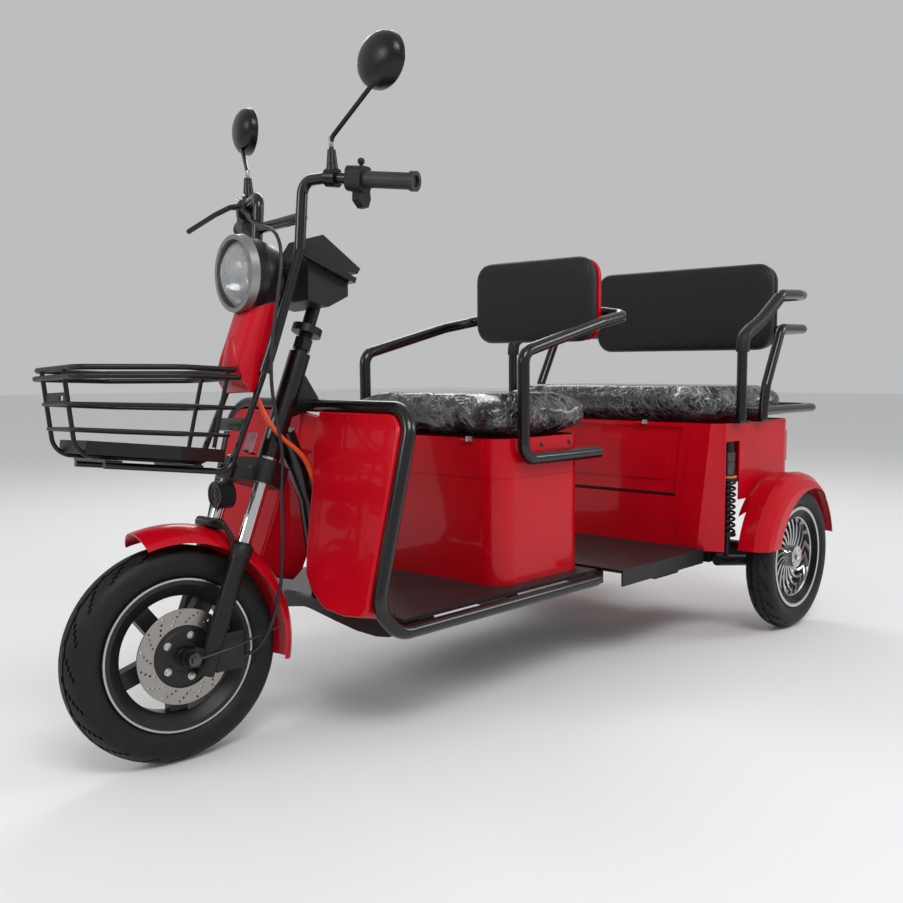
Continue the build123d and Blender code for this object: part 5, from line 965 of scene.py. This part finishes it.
def bar_ring(side, from_end, length, inner, outer, ease=0.0006):
    """A short sleeve round the bar, its outer edges eased."""
    half = length / 2
    line = Vector((BAR_LINE.x, side * BAR_LINE.y, BAR_LINE.z))
    return ring_profile([
        (inner, -half), (outer - ease, -half), (outer, -half + ease),
        (outer, half - ease), (outer - ease, half), (inner, half),
    ], on_bar(from_end, side), line, 40)


for side, name in SIDES:
    collar = bar_ring(side, POD_EDGE, 0.0020, 0.0195, 0.0205)
    finished(collar, f"pod_seam_{name}", "steering", DARK_STEEL)
pins = joined([
    bolt(LEVER_CLAMP + Vector((0.026, 0, 0.012)), (0.3, 0, 1), 0.0040, 0.006),
    bolt(LEVER_CLAMP + Vector((0.012, 0.0, 0.0200)), UP, 0.0035, 0.005),
    rod(LEVER_CLAMP + Vector((0.020, -0.010, -0.002)), LEVER_CLAMP + Vector((0.036, -0.014, -0.004)),
        0.0072, 16),
])
finished(pins, "lever_pins", "steering", CHROME)

# ---------------------------------------------------------------- front fork trim
RAKE_LINE = Vector((-sin(RAKE), 0, cos(RAKE)))
AHEAD_LINE = Vector((cos(RAKE), 0, sin(RAKE)))
STEER_FOOT = Vector((FRONT_X - 0.080, 0, AXLE_HEIGHT))
LEG_AHEAD, LEG_Y = 0.037, 0.070
PLATE_TILT = Matrix.Rotation(-RAKE, 4, "Y")
HORN_FACE = Vector((FRONT_X - 0.112, -0.021, 0.496))


def on_fork(along, ahead=0.0, across=0.0):
    """A point by its place along the steering axis, ahead of it and to the left."""
    return STEER_FOOT + RAKE_LINE * along + AHEAD_LINE * ahead + Vector((0, across, 0))


for side, name in SIDES:
    wiper = ring_profile([
        (0.0136, -0.0010), (0.0190, -0.0010), (0.0206, 0.0010), (0.0206, 0.0190), (0.0190, 0.0215),
        (0.0160, 0.0225), (0.0150, 0.0260), (0.0137, 0.0262),
    ], on_fork(0.176, LEG_AHEAD, side * LEG_Y), RAKE_LINE, 40)
    finished(wiper, f"fork_wiper_{name}", "steering", PLASTIC)
    pinch = joined([
        bolt(on_fork(0.345, LEG_AHEAD + 0.0226, side * 0.062), AHEAD_LINE, 0.0048, 0.007),
        bolt(on_fork(-0.028, LEG_AHEAD + 0.0165, side * LEG_Y), AHEAD_LINE, 0.0042, 0.006),
    ])
    finished(pinch, f"fork_pinch_bolts_{name}", "steering", DARK_STEEL)
for side, name in SIDES:
    nut = bolt(Vector((FRONT_X, side * 0.0895, AXLE_HEIGHT)), (0, side, 0), 0.0085, 0.0085)
    finished(nut, f"axle_nut_{name}", "steering", DARK_STEEL)
horn_rings = ring_profile([
    (0.0, 0.0), (0.0, 0.0022), (0.0060, 0.0022), (0.0065, 0.0010), (0.0110, 0.0010), (0.0120, 0.0026),
    (0.0150, 0.0026), (0.0160, 0.0010), (0.0200, 0.0010), (0.0215, 0.0030), (0.0262, 0.0030),
    (0.0272, 0.0015), (0.0272, -0.0004), (0.0, -0.0004),
], HORN_FACE, FORWARD, 48)
finished(horn_rings, "horn_rings", "steering", CASTING)
plate = slab((-0.0008, -0.018, -0.021), (0.0008, 0.018, 0.021), 0.004, "X", 0.0003)
plate.data.transform(Matrix.Translation(on_fork(0.3985, 0.0542, 0.010)) @ PLATE_TILT)
finished(plate, "blank_pink_plate", "steering", PINK_PLATE)
bracket = joined([
    slab((-0.012, -0.006, -0.0015), (0.012, 0.006, 0.0015), 0.002, "Z", 0.0004),
    bolt(UP * 0.0015, UP, 0.0042, 0.005),
])
bracket.data.transform(Matrix.Translation(on_fork(0.3795, 0.0500, 0.010)) @ PLATE_TILT)
finished(bracket, "plate_bracket", "steering", SATIN)

# ---------------------------------------------------------------- springs and rear details
SHOCK_X, SHOCK_Y = FRONT_X - 1.456, 0.376
SPRING_RING_Z, SHOCK_CAN_Z = 0.4485, 0.4520
HUB_FACE_Y, HUB_BOLTS, HUB_BOLT_RING = 0.4882, 4, 0.020
SLEEVE_Y = 0.412
for side, name in SIDES:
    ring = ring_profile([
        (0.0152, -0.0030), (0.0235, -0.0030), (0.0244, -0.0016), (0.0244, 0.0016), (0.0235, 0.0030),
        (0.0152, 0.0030),
    ], Vector((SHOCK_X, side * SHOCK_Y, SPRING_RING_Z)), UP, 40)
    finished(ring, f"spring_ring_{name}", "chassis", AMBER)
    can = ring_profile([
        (0.0151, 0.0), (0.0178, 0.0), (0.0185, 0.0010), (0.0185, 0.0330), (0.0172, 0.0345),
        (0.0172, 0.0400), (0.0185, 0.0415), (0.0185, 0.0640), (0.0176, 0.0650), (0.0151, 0.0650),
    ], Vector((SHOCK_X, side * SHOCK_Y, SHOCK_CAN_Z)), UP, 40)
    finished(can, f"shock_can_{name}", "chassis", DARK_STEEL)
    hub_face = Vector((REAR_X, side * HUB_FACE_Y, AXLE_HEIGHT))
    caps = []
    for place in range(HUB_BOLTS):
        turn = radians(360 / HUB_BOLTS * place + 45)
        caps.append(bolt(hub_face + Vector((HUB_BOLT_RING * cos(turn), 0, HUB_BOLT_RING * sin(turn))),
                         (0, side, 0), 0.0035, 0.004))
    hub = ring_profile([
        (0.0, 0.0), (0.0, side * 0.0070), (0.0080, side * 0.0068), (0.0105, side * 0.0050), (0.0115, 0.0),
    ], hub_face, LEFT, 32)
    finished(joined(caps + [hub]), f"hub_bolts_{name}", f"rear_{name}_wheel", CHROME)

# The rear arm's moulded sleeve, left and right.
for side, name in SIDES:
    sleeve = bent_rod([
        (FRONT_X + back, side * SLEEVE_Y, height) for back, height in (
            (-1.4585, 0.792), (-1.4590, 0.822), (-1.4760, 0.842), (-1.5550, 0.874), (-1.6200, 0.915),
            (-1.6700, 0.947),
        )
    ], 0.0185)
    finished(sleeve, f"arm_sleeve_{name}", "chassis", PLASTIC, smooth=60)

# Two bolts high on each side of the seat box.
for side, name in SIDES:
    bolts = [
        bolt(Vector((x, side * 0.2452, 0.5705)), (0, side, 0), 0.0042, 0.004)
        for x in (FRONT_X - 0.800, FRONT_X - 0.905)
    ]
    finished(joined(bolts), f"seat_box_bolts_{name}", "chassis", DARK_STEEL)

# ---------------------------------------------------------------- red and black trim
def skin(stations, columns, thick):
    """A thin sheet through rows of points, one row for each station, thickened both ways."""
    rows = len(stations)
    bpy.ops.object.select_all(action="DESELECT")
    bpy.ops.mesh.primitive_grid_add(x_subdivisions=columns, y_subdivisions=rows - 1, size=1)
    piece = bpy.context.object
    for vertex in piece.data.vertices:
        column = round((vertex.co.x + 0.5) * columns)
        row = round((vertex.co.y + 0.5) * (rows - 1))
        vertex.co = stations[row](column / columns)
    return apply_modifier(piece, "SOLIDIFY", thickness=thick, offset=0)


def chin_row(back, height, half):
    """One row of the cowl's rounded chin, across from its right to its left edge."""
    return lambda share: Vector((
        FRONT_X + back + 0.005 * (1 - (2 * share - 1) ** 2) - 0.002, half * (2 * share - 1), height,
    ))


chin = skin([chin_row(*row) for row in (
    (-0.1515, 0.806, 0.010), (-0.147, 0.785, 0.0215), (-0.141, 0.752, 0.0290), (-0.143, 0.735, 0.0385),
    (-0.146, 0.718, 0.0450), (-0.152, 0.706, 0.0492), (-0.159, 0.6975, 0.0515), (-0.168, 0.7005, 0.0515),
    (-0.176, 0.7065, 0.0515),
)], 14, 0.0022)
finished(chin, "cowl_chin", "steering", RED, smooth=60)

# The front hoop's top and heel, measured back from the front axle and up from the ground.
HOOP_TOP_BACK, HOOP_TOP_Z = -0.345, 0.667
HOOP_HEEL_BACK, HOOP_HEEL_Z = -0.246, 0.288
SHIELD_OUT = Vector((HOOP_TOP_Z - HOOP_HEEL_Z, 0, HOOP_HEEL_BACK - HOOP_TOP_BACK)).normalized()
SHIELD_UP = Vector((-SHIELD_OUT.z, 0, SHIELD_OUT.x))
SHIELD_TOP = Vector((FRONT_X + HOOP_TOP_BACK, 0, HOOP_TOP_Z))


def shield_place(across, along, off):
    """A point by its place across the shields' plane, up it, and in front of it."""
    return SHIELD_TOP + SHIELD_UP * along + SHIELD_OUT * off + LEFT * across


def wall_row(across, along):
    """One row of the shield's side wall, from its back edge to its front edge."""
    return lambda share: shield_place(across, along, -0.105 + 0.080 * share)


wall = skin([wall_row(-across, along) for across, along in (
    (0.0300, -0.030), (0.0300, -0.092), (0.0370, -0.118), (0.0480, -0.150), (0.0580, -0.225),
    (0.0700, -0.300), (0.0820, -0.350), (0.1060, -0.376),
)], 4, 0.0025)
finished(wall, "shield_side_wall", "chassis", RED, smooth=50)

# Painted shade: a thin black slab lines the floor of the rear body's slot, standing in for the shade inside
# the groove.
slot_painted_shade_strip = slab((-0.5060, -0.256, 0.3915), (-0.4992, 0.256, 0.3995), 0.0, "X", 0.0005)
finished(slot_painted_shade_strip, "slot_painted_shade_strip", "chassis", PLASTIC)

# Under the rear floor: the step's hangers with their nuts.
HANGER_Y, HANGER_NUT_Y = 0.300, 0.3198
for side, name in SIDES:
    middle = side * HANGER_Y
    hanger = joined([
        slab((FRONT_X - 1.300, middle - 0.016, 0.196), (FRONT_X - 1.180, middle + 0.016, 0.2465),
             0.006, "Y", 0.001),
        slab((FRONT_X - 1.282, middle - 0.020, 0.205), (FRONT_X - 1.198, middle + 0.020, 0.222),
             0.003, "Y", 0.001),
    ])
    finished(hanger, f"floor_hanger_{name}", "chassis", SATIN)
    nuts = joined([
        bolt(Vector((x, side * HANGER_NUT_Y, 0.2135)), (0, side, 0), 0.0058, 0.007)
        for x in (FRONT_X - 1.255, FRONT_X - 1.225)
    ])
    finished(nuts, f"floor_hanger_nuts_{name}", "chassis", ZINC)
